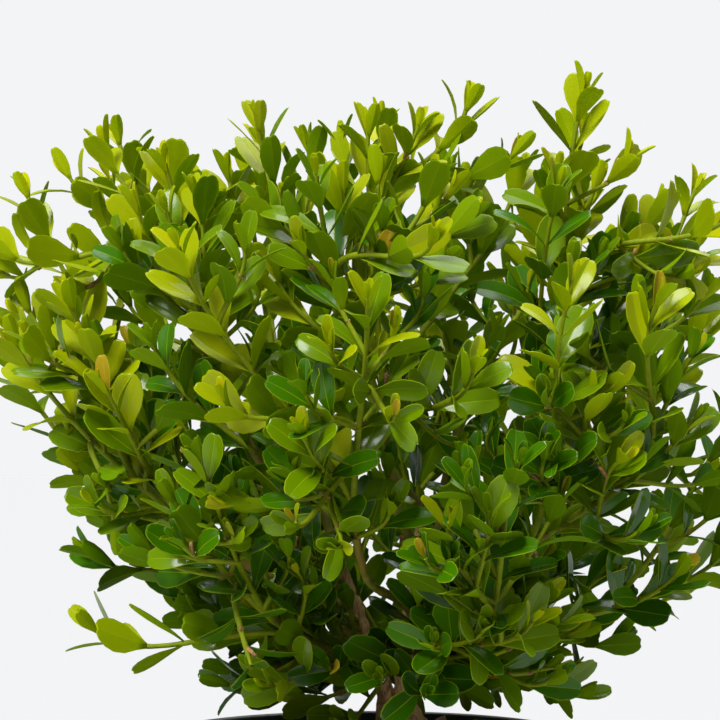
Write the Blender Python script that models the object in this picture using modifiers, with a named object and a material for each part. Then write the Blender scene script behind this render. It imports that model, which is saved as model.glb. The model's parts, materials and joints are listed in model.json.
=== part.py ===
"""A young box shrub in a round nursery pot, modelled at its real size in metres, +Z up.

The origin is the centre of the pot's flat underside, and the front of the plant faces -Y.
A short trunk forks just above the compost into three stems. Each stem carries six boughs, and
each bough ends where it enters a mass of foliage: a leader with side shoots and pairs of leaves,
grown by a seeded rule inside its own wedge of the crown and fused into one solid.
"""

import math
import random

import bmesh
import bpy
import numpy as np
from mathutils import Matrix, Vector

MM = 0.001
CLEARANCE = 0.3 * MM
ROOT_NAME = "potted_box_shrub"

# Pot and compost
POT_HEIGHT = 125 * MM
POT_RIM_RADIUS = 75 * MM
POT_BASE_RADIUS = 54 * MM
POT_WALL = 2 * MM
RIM_BAND = 12 * MM
RIM_PROUD = 2.5 * MM
EDGE = 1.2 * MM
POT_STEPS = 36
DRAIN_HOLES = 6
DRAIN_SIDES = 10
DRAIN_RADIUS = 4.5 * MM
DRAIN_CIRCLE = 36 * MM
COMPOST_DEPTH_BELOW_RIM = 3.5 * MM
COMPOST_SLOPE = 1.5 * MM
COMPOST_FLAT_RADIUS = 30 * MM
COMPOST_TOP = POT_HEIGHT - COMPOST_DEPTH_BELOW_RIM

# Crown: a ball with square shoulders above and a rounder, narrower foot below
CROWN_CENTRE = Vector((0, 0, 236)) * MM
CROWN_HALF = Vector((132, 123, 103)) * MM
SHOULDER_POWER = 3.2
SKIRT_POWER = 2.1
LOWEST_LEAF = POT_HEIGHT + 3 * MM
FORK = Vector((9, 0, 144)) * MM

# Rings of foliage masses, from low to high: name, how many, elevation and first azimuth in degrees,
# and the share of the way from the fork to the crown's outline that their boughs cover
RINGS = (
    ("low", 6, -27, -38, 0.3),
    ("middle", 6, 8, -8, 0.38),
    ("upper", 5, 46, 3, 0.4),
    ("top", 1, 88, 60, 0.4),
)

# Shoots that stand proud of the ball: azimuth, elevation (degrees) and reach
TALL_SHOOTS = (
    (69, 61, 1.12),
    (95, 76, 1.06),
    (-125, 49, 1.14),
    (-110, 38, 1.12),
    (112, 39, 1.10),
    (138, 43, 1.10),
    (70, 35, 1.09),
    (81, -24, 1.04),
    (-84, 31, 1.03),
    (-64, -41, 1.02),
    (-27, -50, 1.00),
    (14, -47, 0.94),
    (45, -52, 1.04),
    (176, 62, 1.08),
    (-28, 58, 1.00),
)

# Trunk, stems and boughs
TRUNK_FOOT = Vector((14, -2, 0)) * MM + Vector((0, 0, COMPOST_TOP + CLEARANCE))
TRUNK_HEIGHT = 14 * MM
TRUNK_LEAN = Vector((-4, 1, 0)) * MM
TRUNK_FLARE_RADIUS = 11 * MM
TRUNK_TOP_RADIUS = 7.2 * MM
STEM_AZIMUTHS = (-95, 40, 155)
STEM_CIRCLE = 4.1 * MM
STEM_BASE_RADIUS = 3.0 * MM
STEM_TIP_RADIUS = 1.8 * MM
STEM_RISE = 50 * MM
STEM_SPREAD = 22 * MM
STEM_PULL = 0.1
STEM_END = 74
BOUGH_BASE_RADIUS = 1.7 * MM
BOUGH_TIP_RADIUS = 1.25 * MM
LOWEST_BOUGH = 0.14
HIGHEST_BOUGH = 0.8
LEAST_FORK = math.radians(42)
FORK_SHARE = 0.8
TRUNK_SIDES, STEM_SIDES, BOUGH_SIDES = 12, 8, 6
STEM_POINTS, BOUGH_POINTS = 7, 6
PULL = 0.36
LEAD = 2.5 * MM

# Shoots
SEED = 11
MASS_SEED = 111
SHOOTS = 96
LOWEST_SHOOT = -50
SHOOT_JITTER = 5
SHOOT_REACH = (0.88, 1.02)
TOP_FROM, TOP_SHARE = 50, 0.95
SHY_AZIMUTH, SHY_BELOW, SHY_FADE, SHY_SHARE = -95, 4, 10, 0.22
FIRST_SIDE_SHOOT, LAST_SIDE_SHOOT = 0.16, 0.72
DRAWN_IN = (0, 0.07, 0.15, 0.25)
UPTURN = 0.5
TIP_UPTURN = 1.3
LEADER_RADIUS = 1.2 * MM
SHOOT_RADIUS = 0.9 * MM
TIP_RADIUS = 0.55 * MM
LEADER_POINTS, SHOOT_POINTS = 6, 5

# Leaves: full size, then how the pairs near a tip are smaller and less open
LEAF_LENGTH = 27 * MM
LEAF_WIDTH = 14 * MM
LEAF_THICKNESS = 1.0 * MM
LEAF_SUNK = 0.12 * MM
WIDEST_AT = 0.6
PAIR_STEP = 13.3 * MM
BARE_BASE = 12 * MM
PAIR_SIZES = (0.62, 0.85, 1.0)
PAIR_OPENINGS = (24, 40, 52)
SKYWARD = 0.35
LEAF_MARGIN = 0.5 * MM
LIMB_MARGIN = 0.6 * MM
LEAF_SPACING = 2.7 * MM
SMALLER_LEAVES = (1, 0.86, 0.74)
LEAF_GRID = [(u, v) for u in (0.15, 0.35, 0.6, 0.8, 1.0) for v in (-1, -0.5, 0, 0.5, 1)]


# ---------------------------------------------------------------- scene and materials


def clear_scene():
    for obj in list(bpy.data.objects):
        bpy.data.objects.remove(obj)


def new_collection(name):
    made = bpy.data.collections.new(name)
    bpy.context.scene.collection.children.link(made)
    return made


def material(name, colour, roughness):
    made = bpy.data.materials.new(name)
    made.use_nodes = True
    shader = made.node_tree.nodes["Principled BSDF"]
    shader.inputs["Base Color"].default_value = (*colour, 1)
    shader.inputs["Roughness"].default_value = roughness
    shader.inputs["Metallic"].default_value = 0
    return made


def add_object(name, data, collection, finish):
    made = bpy.data.objects.new(name, data)
    if finish is not None:
        data.materials.append(finish)
    collection.objects.link(made)
    return made


# ---------------------------------------------------------------- pot and compost


def turned(name, profile, collection, finish):
    """A solid of revolution about Z. The profile is a list of (radius, height) from top to bottom."""
    outline = bmesh.new()
    corners = [outline.verts.new((r, 0, z)) for r, z in profile]
    closes = profile[0][0] > 0
    for a, b in zip(corners, corners[1:] + corners[:1] if closes else corners[1:]):
        outline.edges.new((a, b))
    data = bpy.data.meshes.new(name)
    outline.to_mesh(data)
    outline.free()
    made = add_object(name, data, collection, finish)
    screw = made.modifiers.new("turn", "SCREW")
    screw.steps = screw.render_steps = POT_STEPS
    screw.use_merge_vertices = True
    screw.merge_threshold = 0.02 * MM
    screw.use_normal_calculate = True
    screw.use_smooth_shade = True
    return made


def pot_radius(height):
    """The outer radius of the pot's tapered wall at a height."""
    top = POT_RIM_RADIUS - RIM_PROUD
    return POT_BASE_RADIUS + (top - POT_BASE_RADIUS) * height / POT_HEIGHT


def build_pot(collection, cutters, finish):
    """The pot: a tapered wall with a proud band at the rim, a flat base and a ring of drain holes."""
    under_band = POT_HEIGHT - RIM_BAND
    mouth = POT_RIM_RADIUS - RIM_PROUD - POT_WALL
    profile = [
        (mouth, POT_HEIGHT - EDGE),
        (mouth + EDGE, POT_HEIGHT),
        (POT_RIM_RADIUS - EDGE, POT_HEIGHT),
        (POT_RIM_RADIUS, POT_HEIGHT - EDGE),
        (POT_RIM_RADIUS, under_band + EDGE),
        (POT_RIM_RADIUS - EDGE, under_band),
        (pot_radius(under_band), under_band),
        (pot_radius(0), EDGE),
        (pot_radius(0) - EDGE, 0),
        (DRAIN_CIRCLE - 2 * DRAIN_RADIUS, 0),
        (0, 0),
        (0, POT_WALL),
        (pot_radius(0) - POT_WALL, POT_WALL),
    ]
    pot = turned("pot", profile, collection, finish)
    for k in range(DRAIN_HOLES):
        turn = math.tau * (k + 0.5) / DRAIN_HOLES
        shape = bmesh.new()
        bmesh.ops.create_cone(
            shape,
            cap_ends=True,
            segments=DRAIN_SIDES,
            radius1=DRAIN_RADIUS,
            radius2=DRAIN_RADIUS,
            depth=4 * POT_WALL,
        )
        data = bpy.data.meshes.new(f"drain_{k + 1}")
        shape.to_mesh(data)
        shape.free()
        drill = add_object(f"drain_{k + 1}", data, cutters, None)
        drill.location = (DRAIN_CIRCLE * math.cos(turn), DRAIN_CIRCLE * math.sin(turn), 0)
        drill.hide_render = True
        drill.display_type = "WIRE"
    cut = pot.modifiers.new("drain holes", "BOOLEAN")
    cut.operation = "DIFFERENCE"
    cut.operand_type = "COLLECTION"
    cut.collection = cutters
    cut.solver = "EXACT"
    return pot


def build_compost(collection, finish):
    """The compost and root ball that fill the pot, flat around the trunk and lower at the wall."""
    bottom = POT_WALL + CLEARANCE
    edge_height = COMPOST_TOP - COMPOST_SLOPE
    profile = [
        (0, COMPOST_TOP),
        (COMPOST_FLAT_RADIUS, COMPOST_TOP),
        (pot_radius(edge_height) - POT_WALL - 2 * CLEARANCE, edge_height),
        (pot_radius(bottom) - POT_WALL - 2 * CLEARANCE, bottom),
        (0, bottom),
    ]
    return turned("compost", profile, collection, finish)


# ---------------------------------------------------------------- lines through space


def unit(vector):
    return vector.normalized()


def heading(azimuth, elevation):
    """The unit vector at an azimuth (0 is the front, 90 the right) and an elevation, both in degrees."""
    a, e = math.radians(azimuth), math.radians(elevation)
    return Vector((math.sin(a) * math.cos(e), -math.cos(a) * math.cos(e), math.sin(e)))


def crown_point(azimuth, elevation, reach=1.0):
    """The point where the crown's outline lies in that direction from its centre."""
    way = heading(azimuth, elevation)
    power = SHOULDER_POWER if elevation > 0 else SKIRT_POWER
    flat, rise = math.hypot(way.x, way.y), abs(way.z)
    scale = reach / (flat**power + rise**power) ** (1 / power)
    return CROWN_CENTRE + Vector(w * h for w, h in zip(way, CROWN_HALF)) * scale


def bend(start, start_way, end, end_way, count, pull=PULL):
    """Points along a smooth curve between two places, with a short straight lead from the first."""
    points = [start]
    start = start + start_way * LEAD
    span = (end - start).length
    first, second = start + start_way * (span * pull), end - end_way * (span * PULL)
    for k in range(count - 1):
        t = k / (count - 2)
        s = 1 - t
        points.append(
            start * s**3 + first * (3 * s * s * t) + second * (3 * s * t * t) + end * t**3
        )
    return points


class Line:
    """A polyline with a radius that tapers from one end to the other."""

    def __init__(self, points, base_radius, tip_radius):
        self.points = points
        steps = [(b - a).length for a, b in zip(points, points[1:])]
        self.along = [sum(steps[:k]) for k in range(len(points))]
        self.length = sum(steps)
        self.radii = [
            base_radius + (tip_radius - base_radius) * s / self.length for s in self.along
        ]

    def at(self, distance):
        """The point, direction and radius at a distance from the base."""
        k = 0
        while k < len(self.points) - 2 and self.along[k + 1] < distance:
            k += 1
        a, b = self.points[k], self.points[k + 1]
        share = (distance - self.along[k]) / (b - a).length
        radius = self.radii[k] + (self.radii[k + 1] - self.radii[k]) * share
        return a.lerp(b, share), unit(b - a), radius

    def samples(self, spacing=2 * MM):
        """Places and radii along the line, close enough together to test what comes near it."""
        count = max(2, math.ceil(self.length / spacing))
        found = [self.at(self.length * k / (count - 1)) for k in range(count)]
        return np.array([place for place, _, _ in found]), np.array([r for _, _, r in found])


# ---------------------------------------------------------------- trunk, stems and boughs


def poly_curve(name, line):
    """A curve through a line's points with its radii and filled caps, still to be given a bevel."""
    curve = bpy.data.curves.new(name, "CURVE")
    curve.dimensions = "3D"
    curve.use_fill_caps = True
    spline = curve.splines.new("POLY")
    spline.points.add(len(line.points) - 1)
    for point, place, radius in zip(spline.points, line.points, line.radii):
        point.co = (*place, 1)
        point.radius = radius
    return curve


def tube(name, line, collection, finish, sides):
    """A tapering limb with a round section of the given number of sides."""
    curve = poly_curve(name, line)
    curve.bevel_depth = 1
    curve.bevel_resolution = (sides - 4) // 2
    return add_object(name, curve, collection, finish)


def trunk_line():
    """The short leaning trunk, flared at the compost, with its foot and its fork cut level."""
    heights, leans = (0, 0.15, 0.45, 0.85, 1), (0, 0, 0.4, 1, 1)
    points = [
        TRUNK_FOOT + TRUNK_LEAN * lean + Vector((0, 0, TRUNK_HEIGHT * h))
        for h, lean in zip(heights, leans)
    ]
    line = Line(points, TRUNK_FLARE_RADIUS, TRUNK_TOP_RADIUS)
    flare = TRUNK_FLARE_RADIUS - TRUNK_TOP_RADIUS
    line.radii = [TRUNK_TOP_RADIUS + flare * (1 - h) ** 3 for h in heights]
    return line


def stem_lines(trunk):
    """Three stems that start beside each other on the trunk's flat top and lean outwards."""
    top = trunk.points[-1]
    lines = []
    for azimuth in STEM_AZIMUTHS:
        out = heading(azimuth, 0)
        start = top + out * STEM_CIRCLE + Vector((0, 0, CLEARANCE))
        end = FORK + out * STEM_SPREAD + Vector((0, 0, STEM_RISE))
        arrive = heading(azimuth, STEM_END)
        points = bend(start, Vector((0, 0, 1)), end, arrive, STEM_POINTS, STEM_PULL)
        lines.append(Line(points, STEM_BASE_RADIUS, STEM_TIP_RADIUS))
    return lines


def masses():
    """Each mass of foliage: its name, its direction from the fork and how far out its bough ends."""
    found = []
    for ring, count, elevation, first, share in RINGS:
        for k in range(count):
            way = crown_point(first + 360 * k / count, elevation) - FORK
            name = ring if count == 1 else f"{ring}_{k + 1}"
            found.append((name, unit(way), way.length * share))
    return found


def turn_between(way, azimuth):
    """How far, in degrees, a direction lies to one side of an azimuth."""
    turn = math.degrees(math.atan2(way.x, -way.y)) - azimuth
    return abs((turn + 180) % 360 - 180)


def shared_out(wedges):
    """The masses that each stem carries, from low to high: those on its side, and the top one."""
    carried = [[] for _ in STEM_AZIMUTHS]
    for wedge in wedges[:-1]:
        turns = [turn_between(wedge[1], azimuth) for azimuth in STEM_AZIMUTHS]
        carried[turns.index(min(turns))].append(wedge)
    min(carried, key=len).append(wedges[-1])
    return carried


def bough_lines(stems, wedges):
    """A bough for each mass, side by side up its stem. The highest one carries the stem on."""
    lines = {}
    for stem, carried in zip(stems, shared_out(wedges)):
        step = (HIGHEST_BOUGH - LOWEST_BOUGH) / (len(carried) - 2)
        for place, (name, way, distance) in enumerate(carried):
            end = FORK + way * distance
            if place == len(carried) - 1:
                axis, leave, _ = stem.at(stem.length)
                start = axis + leave * CLEARANCE
            else:
                axis, along, radius = stem.at(stem.length * (LOWEST_BOUGH + step * place))
                aim = end - axis
                turn = max(along.angle(aim) * FORK_SHARE, LEAST_FORK)
                out = unit(aim - along * along.dot(aim))
                leave = along * math.cos(turn) + out * math.sin(turn)
                gap = radius + CLEARANCE + BOUGH_BASE_RADIUS * math.cos(turn)
                start = axis + leave * (gap / math.sin(turn))
            points = bend(start, leave, end, way, BOUGH_POINTS)
            lines[name] = Line(points, BOUGH_BASE_RADIUS, BOUGH_TIP_RADIUS)
    return lines


# ---------------------------------------------------------------- room and direction of the shoots


class Space:
    """The room that one mass has: its wedge of the crown, above the rim and clear of every limb."""

    def __init__(self, way, other_ways, limbs):
        self.walls = np.array([unit(other - way) for other in other_ways])
        sampled = [limb.samples() for limb in limbs]
        self.limb_points = np.concatenate([points for points, _ in sampled])
        self.limb_radii = np.concatenate([radii for _, radii in sampled])

    def holds(self, points, margin=LEAF_MARGIN):
        """True if these places are inside the wedge and clear of the limbs."""
        past_walls = (points - np.array(FORK)) @ self.walls.T
        if past_walls.max() > -margin or points[:, 2].min() < LOWEST_LEAF:
            return False
        apart = np.linalg.norm(points[:, None] - self.limb_points[None], axis=2)
        return (apart - self.limb_radii[None]).min() > margin + LIMB_MARGIN


def kept_reach(azimuth, elevation):
    """The share of its reach that a shoot keeps: less on the very top and low on the left."""
    if elevation > TOP_FROM:
        return TOP_SHARE
    facing = max(0, math.cos(math.radians(azimuth - SHY_AZIMUTH)))
    low = min(max((SHY_BELOW - elevation) / SHY_FADE, 0), 1)
    return 1 - SHY_SHARE * facing * low


def shoot_tips():
    """Where the shoots end: an even seeded scatter over the crown, with the tall shoots in it."""
    draw = random.Random(SEED)
    lowest = math.sin(math.radians(LOWEST_SHOOT))
    golden = 180 * (3 - math.sqrt(5))
    scatter = []
    for k in range(SHOOTS):
        rise = 1 - (1 - lowest) * (k + 0.5) / SHOOTS
        azimuth = k * golden + draw.uniform(-SHOOT_JITTER, SHOOT_JITTER)
        elevation = math.degrees(math.asin(rise)) + draw.uniform(-SHOOT_JITTER, SHOOT_JITTER)
        reach = draw.uniform(*SHOOT_REACH) * kept_reach(azimuth, elevation)
        scatter.append((azimuth, elevation, reach))
    for tall in TALL_SHOOTS:
        way = heading(tall[0], tall[1])
        nearest = max(scatter, key=lambda tip: way.dot(heading(tip[0], tip[1])))
        scatter[scatter.index(nearest)] = tall
    return [crown_point(*tip) for tip in scatter]


def tips_of_masses(wedges):
    """The shoot tips that lie in each mass's wedge, those nearest the wedge's middle first."""
    found = [[] for _ in wedges]
    for tip in shoot_tips():
        turns = [way.dot(unit(tip - FORK)) for _, way, _ in wedges]
        found[turns.index(max(turns))].append((-max(turns), tuple(tip)))
    return [[Vector(tip) for _, tip in sorted(tips)] for tips in found]


def upturned(tip):
    """Shoots end pointing outwards and well up towards the light."""
    return unit(unit(tip - CROWN_CENTRE) + Vector((0, 0, TIP_UPTURN)))


def grow_twigs(way, bough, tips, space):
    """The leader, which carries the bough on to the middle tip, and a side shoot for each other."""
    leave = unit(bough.points[-1] - bough.points[-2])
    start = bough.points[-1] + leave * CLEARANCE
    points = bend(start, leave, tips[0], upturned(tips[0]), LEADER_POINTS)
    leader = Line(points, LEADER_RADIUS, TIP_RADIUS)
    twigs = [leader]
    side_tips = tips[:0:-1]
    step = (LAST_SIDE_SHOOT - FIRST_SIDE_SHOOT) / max(1, len(side_tips) - 1)
    for k, tip in enumerate(side_tips):
        place, along, _ = leader.at(leader.length * (FIRST_SIDE_SHOOT + step * k))
        middle = FORK + way * (tip - FORK).length
        for share in DRAWN_IN:
            aim = tip.lerp(middle, share)
            leave = unit(unit(aim - place) + along * UPTURN)
            points = bend(place, leave, aim, upturned(aim), SHOOT_POINTS)
            shoot = Line(points, SHOOT_RADIUS, TIP_RADIUS)
            if space.holds(shoot.samples()[0], SHOOT_RADIUS + CLEARANCE):
                twigs.append(shoot)
                break
    return twigs


# ---------------------------------------------------------------- foliage


def leaf_mesh():
    """One leaf, a unit long and wide: a three-sided cone drawn out to a thin kite, cupped at its rib."""
    shape = bmesh.new()
    bmesh.ops.create_cone(shape, cap_ends=True, segments=3, radius1=1, radius2=0, depth=1)
    bmesh.ops.remove_doubles(shape, verts=shape.verts, dist=MM)
    corners = ((0, 0, 0), (1, 0, 0), (WIDEST_AT, 0.5, 1), (WIDEST_AT, -0.5, 1))
    for vert, corner in zip(shape.verts, corners):
        vert.co = corner
    if shape.calc_volume(signed=True) < 0:
        bmesh.ops.reverse_faces(shape, faces=shape.faces)
    data = bpy.data.meshes.new("leaf")
    shape.to_mesh(data)
    shape.free()
    return data


def leaf_places(root, way, side, length, width):
    """Places over a leaf's blade, for testing what it comes near."""
    places = []
    for u, v in LEAF_GRID:
        half = 0.5 * width * (u / WIDEST_AT if u < WIDEST_AT else (1 - u) / (1 - WIDEST_AT))
        places.append(root + way * (u * length) + side * (v * half))
    return np.array(places)


def leaf_frames(twig, draw):
    """Root, direction, upper side and size of each leaf, in crossed pairs from the tip down."""
    frames = []
    along = twig.at(twig.length)[1]
    across = along.orthogonal().normalized()
    across.rotate(Matrix.Rotation(draw.uniform(0, math.tau), 3, along))
    for k in range(math.ceil((twig.length - BARE_BASE) / PAIR_STEP)):
        nearer = min(k, len(PAIR_SIZES) - 1)
        size = PAIR_SIZES[nearer] * draw.uniform(0.9, 1.08)
        opening = math.radians(PAIR_OPENINGS[nearer] + draw.uniform(-6, 8))
        root, along, _ = twig.at(twig.length - TIP_RADIUS - k * PAIR_STEP)
        across = unit(across - along * across.dot(along))
        for side in (across, -across):
            way = unit(along * math.cos(opening) + side * math.sin(opening))
            above = unit(along - way * along.dot(way)) + Vector((0, 0, SKYWARD))
            frames.append((root, way, unit(above - way * above.dot(way)), size))
        across = along.cross(across)
    return frames


def touching(places, others):
    return np.linalg.norm(places[:, None] - others[None], axis=2).min() < LEAF_SPACING


def place_leaves(twigs, space, draw):
    """The matrix of each leaf that finds room. Where a full leaf has none, a smaller one may."""
    taken, matrices = [], []
    for twig in twigs:
        for root, way, above, size in leaf_frames(twig, draw):
            side = above.cross(way)
            for smaller in SMALLER_LEAVES:
                length, width = (full * size * smaller for full in (LEAF_LENGTH, LEAF_WIDTH))
                places = leaf_places(root, way, side, length, width)
                if space.holds(places) and not any(touching(places, other) for other in taken):
                    taken.append(places)
                    foot = root - way * LEAF_SUNK
                    columns = (way * length, side * width, above * LEAF_THICKNESS, foot)
                    rows = [(*column, place == 3) for place, column in enumerate(columns)]
                    matrices.append(Matrix(rows).transposed())
                    break
    return matrices


def section_guide(collection):
    """The three-sided outline that twigs are swept along their lines with."""
    curve = bpy.data.curves.new("twig_section", "CURVE")
    corners = curve.splines.new("POLY")
    corners.points.add(2)
    for k, corner in enumerate(corners.points):
        corner.co = (math.cos(math.tau * k / 3), math.sin(math.tau * k / 3), 0, 1)
    corners.use_cyclic_u = True
    guide = bpy.data.objects.new(curve.name, curve)
    guide.hide_render = True
    guide.display_type = "WIRE"
    collection.objects.link(guide)
    return guide


def applied(obj):
    """The mesh of an object as its modifiers or its bevel leave it. The object is removed."""
    graph = bpy.context.evaluated_depsgraph_get()
    data = bpy.data.meshes.new_from_object(obj.evaluated_get(graph))
    bpy.data.objects.remove(obj)
    return data


def twig_mesh(name, line, guide, collection):
    """A tapering twig, its caps welded."""
    curve = poly_curve(name, line)
    curve.bevel_mode = "OBJECT"
    curve.bevel_object = guide
    drawn = bpy.data.objects.new(name, curve)
    collection.objects.link(drawn)
    data = applied(drawn)
    shape = bmesh.new()
    shape.from_mesh(data)
    bmesh.ops.remove_doubles(shape, verts=shape.verts, dist=0.01 * MM)
    bmesh.ops.recalc_face_normals(shape, faces=shape.faces)
    shape.to_mesh(data)
    shape.free()
    return data


def keep_largest_shell(data):
    """Drops loose scraps and fills sealed hollows: only the shell with the most faces stays."""
    shape = bmesh.new()
    shape.from_mesh(data)
    waiting, shells = set(shape.verts), []
    while waiting:
        front = [waiting.pop()]
        shell = set(front)
        while front:
            vert = front.pop()
            others = {edge.other_vert(vert) for edge in vert.link_edges} & waiting
            waiting -= others
            shell |= others
            front.extend(others)
        shells.append(shell)
    shells.sort(key=len)
    loose = [vert for shell in shells[:-1] for vert in shell]
    bmesh.ops.delete(shape, geom=loose, context="VERTS")
    shape.to_mesh(data)
    shape.free()


def build_mass(name, twigs, matrices, leaf, guide, collection, finish):
    """Fuses a mass's twigs and leaves into one solid with one union."""
    pieces = new_collection(f"{name}_pieces")
    meshes = [twig_mesh(f"{name}_twig_{k}", twig, guide, pieces) for k, twig in enumerate(twigs)]
    for data in meshes[1:]:
        pieces.objects.link(bpy.data.objects.new(data.name, data))
    for k, matrix in enumerate(matrices):
        piece = bpy.data.objects.new(f"{name}_leaf_{k}", leaf)
        piece.matrix_world = matrix
        pieces.objects.link(piece)
    leader = bpy.data.objects.new(f"{name}_leader", meshes[0])
    collection.objects.link(leader)
    join = leader.modifiers.new("join", "BOOLEAN")
    join.operation = "UNION"
    join.operand_type = "COLLECTION"
    join.collection = pieces
    join.solver = "EXACT"
    data = applied(leader)
    for piece in list(pieces.objects):
        bpy.data.objects.remove(piece)
    bpy.data.collections.remove(pieces)
    keep_largest_shell(data)
    data.name = name
    data.materials.clear()
    add_object(name, data, collection, finish)


# ---------------------------------------------------------------- the plant


def main():
    clear_scene()
    parts = new_collection(ROOT_NAME)
    cutters = new_collection("cutters")
    bark = material("bark", (0.24, 0.16, 0.085), 0.85)
    green_bark = material("green bark", (0.16, 0.19, 0.03), 0.6)
    green = material("box leaf", (0.09, 0.24, 0.012), 0.4)
    build_pot(parts, cutters, material("pot plastic", (0.018, 0.02, 0.026), 0.45))
    build_compost(parts, material("compost", (0.075, 0.04, 0.022), 0.95))

    trunk = trunk_line()
    stems = stem_lines(trunk)
    wedges = masses()
    boughs = bough_lines(stems, wedges)
    tube("trunk", trunk, parts, bark, TRUNK_SIDES)
    for k, stem in enumerate(stems):
        tube(f"stem_{k + 1}", stem, parts, bark, STEM_SIDES)
    for name, bough in boughs.items():
        tube(f"bough_{name}", bough, parts, green_bark, BOUGH_SIDES)

    limbs = [trunk, *stems, *boughs.values()]
    ways = [way for _, way, _ in wedges]
    leaf = leaf_mesh()
    guide = section_guide(new_collection("guides"))
    for k, tips in enumerate(tips_of_masses(wedges)):
        name, way, _ = wedges[k]
        space = Space(way, ways[:k] + ways[k + 1 :], limbs)
        twigs = grow_twigs(way, boughs[name], tips, space)
        matrices = place_leaves(twigs, space, random.Random(MASS_SEED + k))
        build_mass(f"foliage_{name}", twigs, matrices, leaf, guide, parts, green)
    bpy.data.objects.remove(guide)


main()
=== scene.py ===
"""Dresses the packed box shrub: its round pot and compost, the bark, the shoots and every leaf.

The limbs and shoots grow by the same rule as the solids they stand for: a short trunk forks into
three stems, each stem carries six boughs, and each bough ends in a leader with side shoots inside
its own wedge of the crown. Here the rule goes on to finer shoots and to leaves of their real size.
"""

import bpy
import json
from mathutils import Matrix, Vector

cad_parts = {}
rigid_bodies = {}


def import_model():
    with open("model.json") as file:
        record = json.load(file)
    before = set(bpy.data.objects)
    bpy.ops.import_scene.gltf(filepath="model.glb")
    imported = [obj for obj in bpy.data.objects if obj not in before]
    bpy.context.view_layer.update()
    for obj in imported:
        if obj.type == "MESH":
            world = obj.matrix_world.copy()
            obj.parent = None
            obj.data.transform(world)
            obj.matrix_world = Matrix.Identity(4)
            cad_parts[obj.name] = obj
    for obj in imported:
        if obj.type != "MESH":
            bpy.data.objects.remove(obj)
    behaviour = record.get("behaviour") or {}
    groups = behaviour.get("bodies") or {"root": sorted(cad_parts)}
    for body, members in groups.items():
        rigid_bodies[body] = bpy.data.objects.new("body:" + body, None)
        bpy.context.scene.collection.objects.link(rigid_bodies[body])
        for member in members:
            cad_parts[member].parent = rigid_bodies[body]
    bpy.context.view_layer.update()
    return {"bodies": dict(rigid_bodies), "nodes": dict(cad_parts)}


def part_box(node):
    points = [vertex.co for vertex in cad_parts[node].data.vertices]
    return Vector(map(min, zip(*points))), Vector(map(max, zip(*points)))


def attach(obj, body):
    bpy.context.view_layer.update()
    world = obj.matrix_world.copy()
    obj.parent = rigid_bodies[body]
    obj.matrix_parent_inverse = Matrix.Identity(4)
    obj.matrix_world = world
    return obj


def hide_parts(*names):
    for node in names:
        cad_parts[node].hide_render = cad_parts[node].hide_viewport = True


bl_info = {
    "name": "Potted box shrub",
    "version": (1, 0, 0),
    "blender": (4, 5, 0),
    "location": "3D View > Sidebar > Shrub",
    "description": "Dresses the packed box shrub with its pot, compost, bark, shoots and leaves",
    "category": "Add Mesh",
}

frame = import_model()

import functools
import json
import math
import random

import bmesh
import bpy
import numpy as np
from mathutils import Matrix, Vector, noise

MM = 0.001
BODY = next(iter(frame["bodies"]))

# ---------------------------------------------------------------- the plant's driving sizes

CLEARANCE = 0.3 * MM
CROWN_CENTRE = Vector((0, 0, 236)) * MM
CROWN_HALF = Vector((132, 123, 103)) * MM
SHOULDER_POWER = 3.2
SKIRT_POWER = 2.1
LOWEST_LEAF = 128 * MM
FORK = Vector((9, 0, 144)) * MM

# Rings of foliage masses: name, how many, elevation and first azimuth in degrees, and the share
# of the way from the fork to the crown's outline that their boughs cover
RINGS = (
    ("low", 6, -27, -38, 0.3),
    ("middle", 6, 8, -8, 0.38),
    ("upper", 5, 46, 3, 0.4),
    ("top", 1, 88, 60, 0.4),
)

# Shoots that stand proud of the ball, or hang low: azimuth, elevation (degrees) and reach
TALL_SHOOTS = (
    (69, 61, 1.12), (95, 76, 1.06), (-125, 49, 1.14), (-110, 38, 1.12), (112, 39, 1.10),
    (138, 43, 1.10), (70, 35, 1.09), (81, -24, 1.04), (-84, 31, 1.03), (-64, -41, 1.02),
    (-27, -50, 1.00), (14, -47, 0.94), (45, -52, 1.04), (176, 62, 1.08), (-28, 58, 1.00),
)

TRUNK_FOOT = Vector((14, -2, 121.8)) * MM
TRUNK_HEIGHT = 14 * MM
TRUNK_LEAN = Vector((-4, 1, 0)) * MM
# Shares of the trunk's height and of its lean, from its foot to its fork
TRUNK_COURSE = ((0, 0), (0.15, 0), (0.45, 0.4), (0.85, 1), (1, 1))
TRUNK_FLARE_RADIUS = 11 * MM
TRUNK_TOP_RADIUS = 7.2 * MM
STEM_AZIMUTHS = (-95, 40, 155)
STEM_CIRCLE = 4.1 * MM
STEM_BASE_RADIUS = 3.0 * MM
STEM_TIP_RADIUS = 1.8 * MM
STEM_RISE = 50 * MM
STEM_SPREAD = 22 * MM
STEM_PULL = 0.1
STEM_END = 74
BOUGH_BASE_RADIUS = 1.7 * MM
BOUGH_TIP_RADIUS = 1.25 * MM
LOWEST_BOUGH, HIGHEST_BOUGH = 0.14, 0.8
LEAST_FORK = math.radians(42)
FORK_SHARE = 0.8
PULL = 0.36
LEAD = 2.5 * MM
STEM_POINTS, BOUGH_POINTS, SHOOT_POINTS = 26, 24, 16

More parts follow.
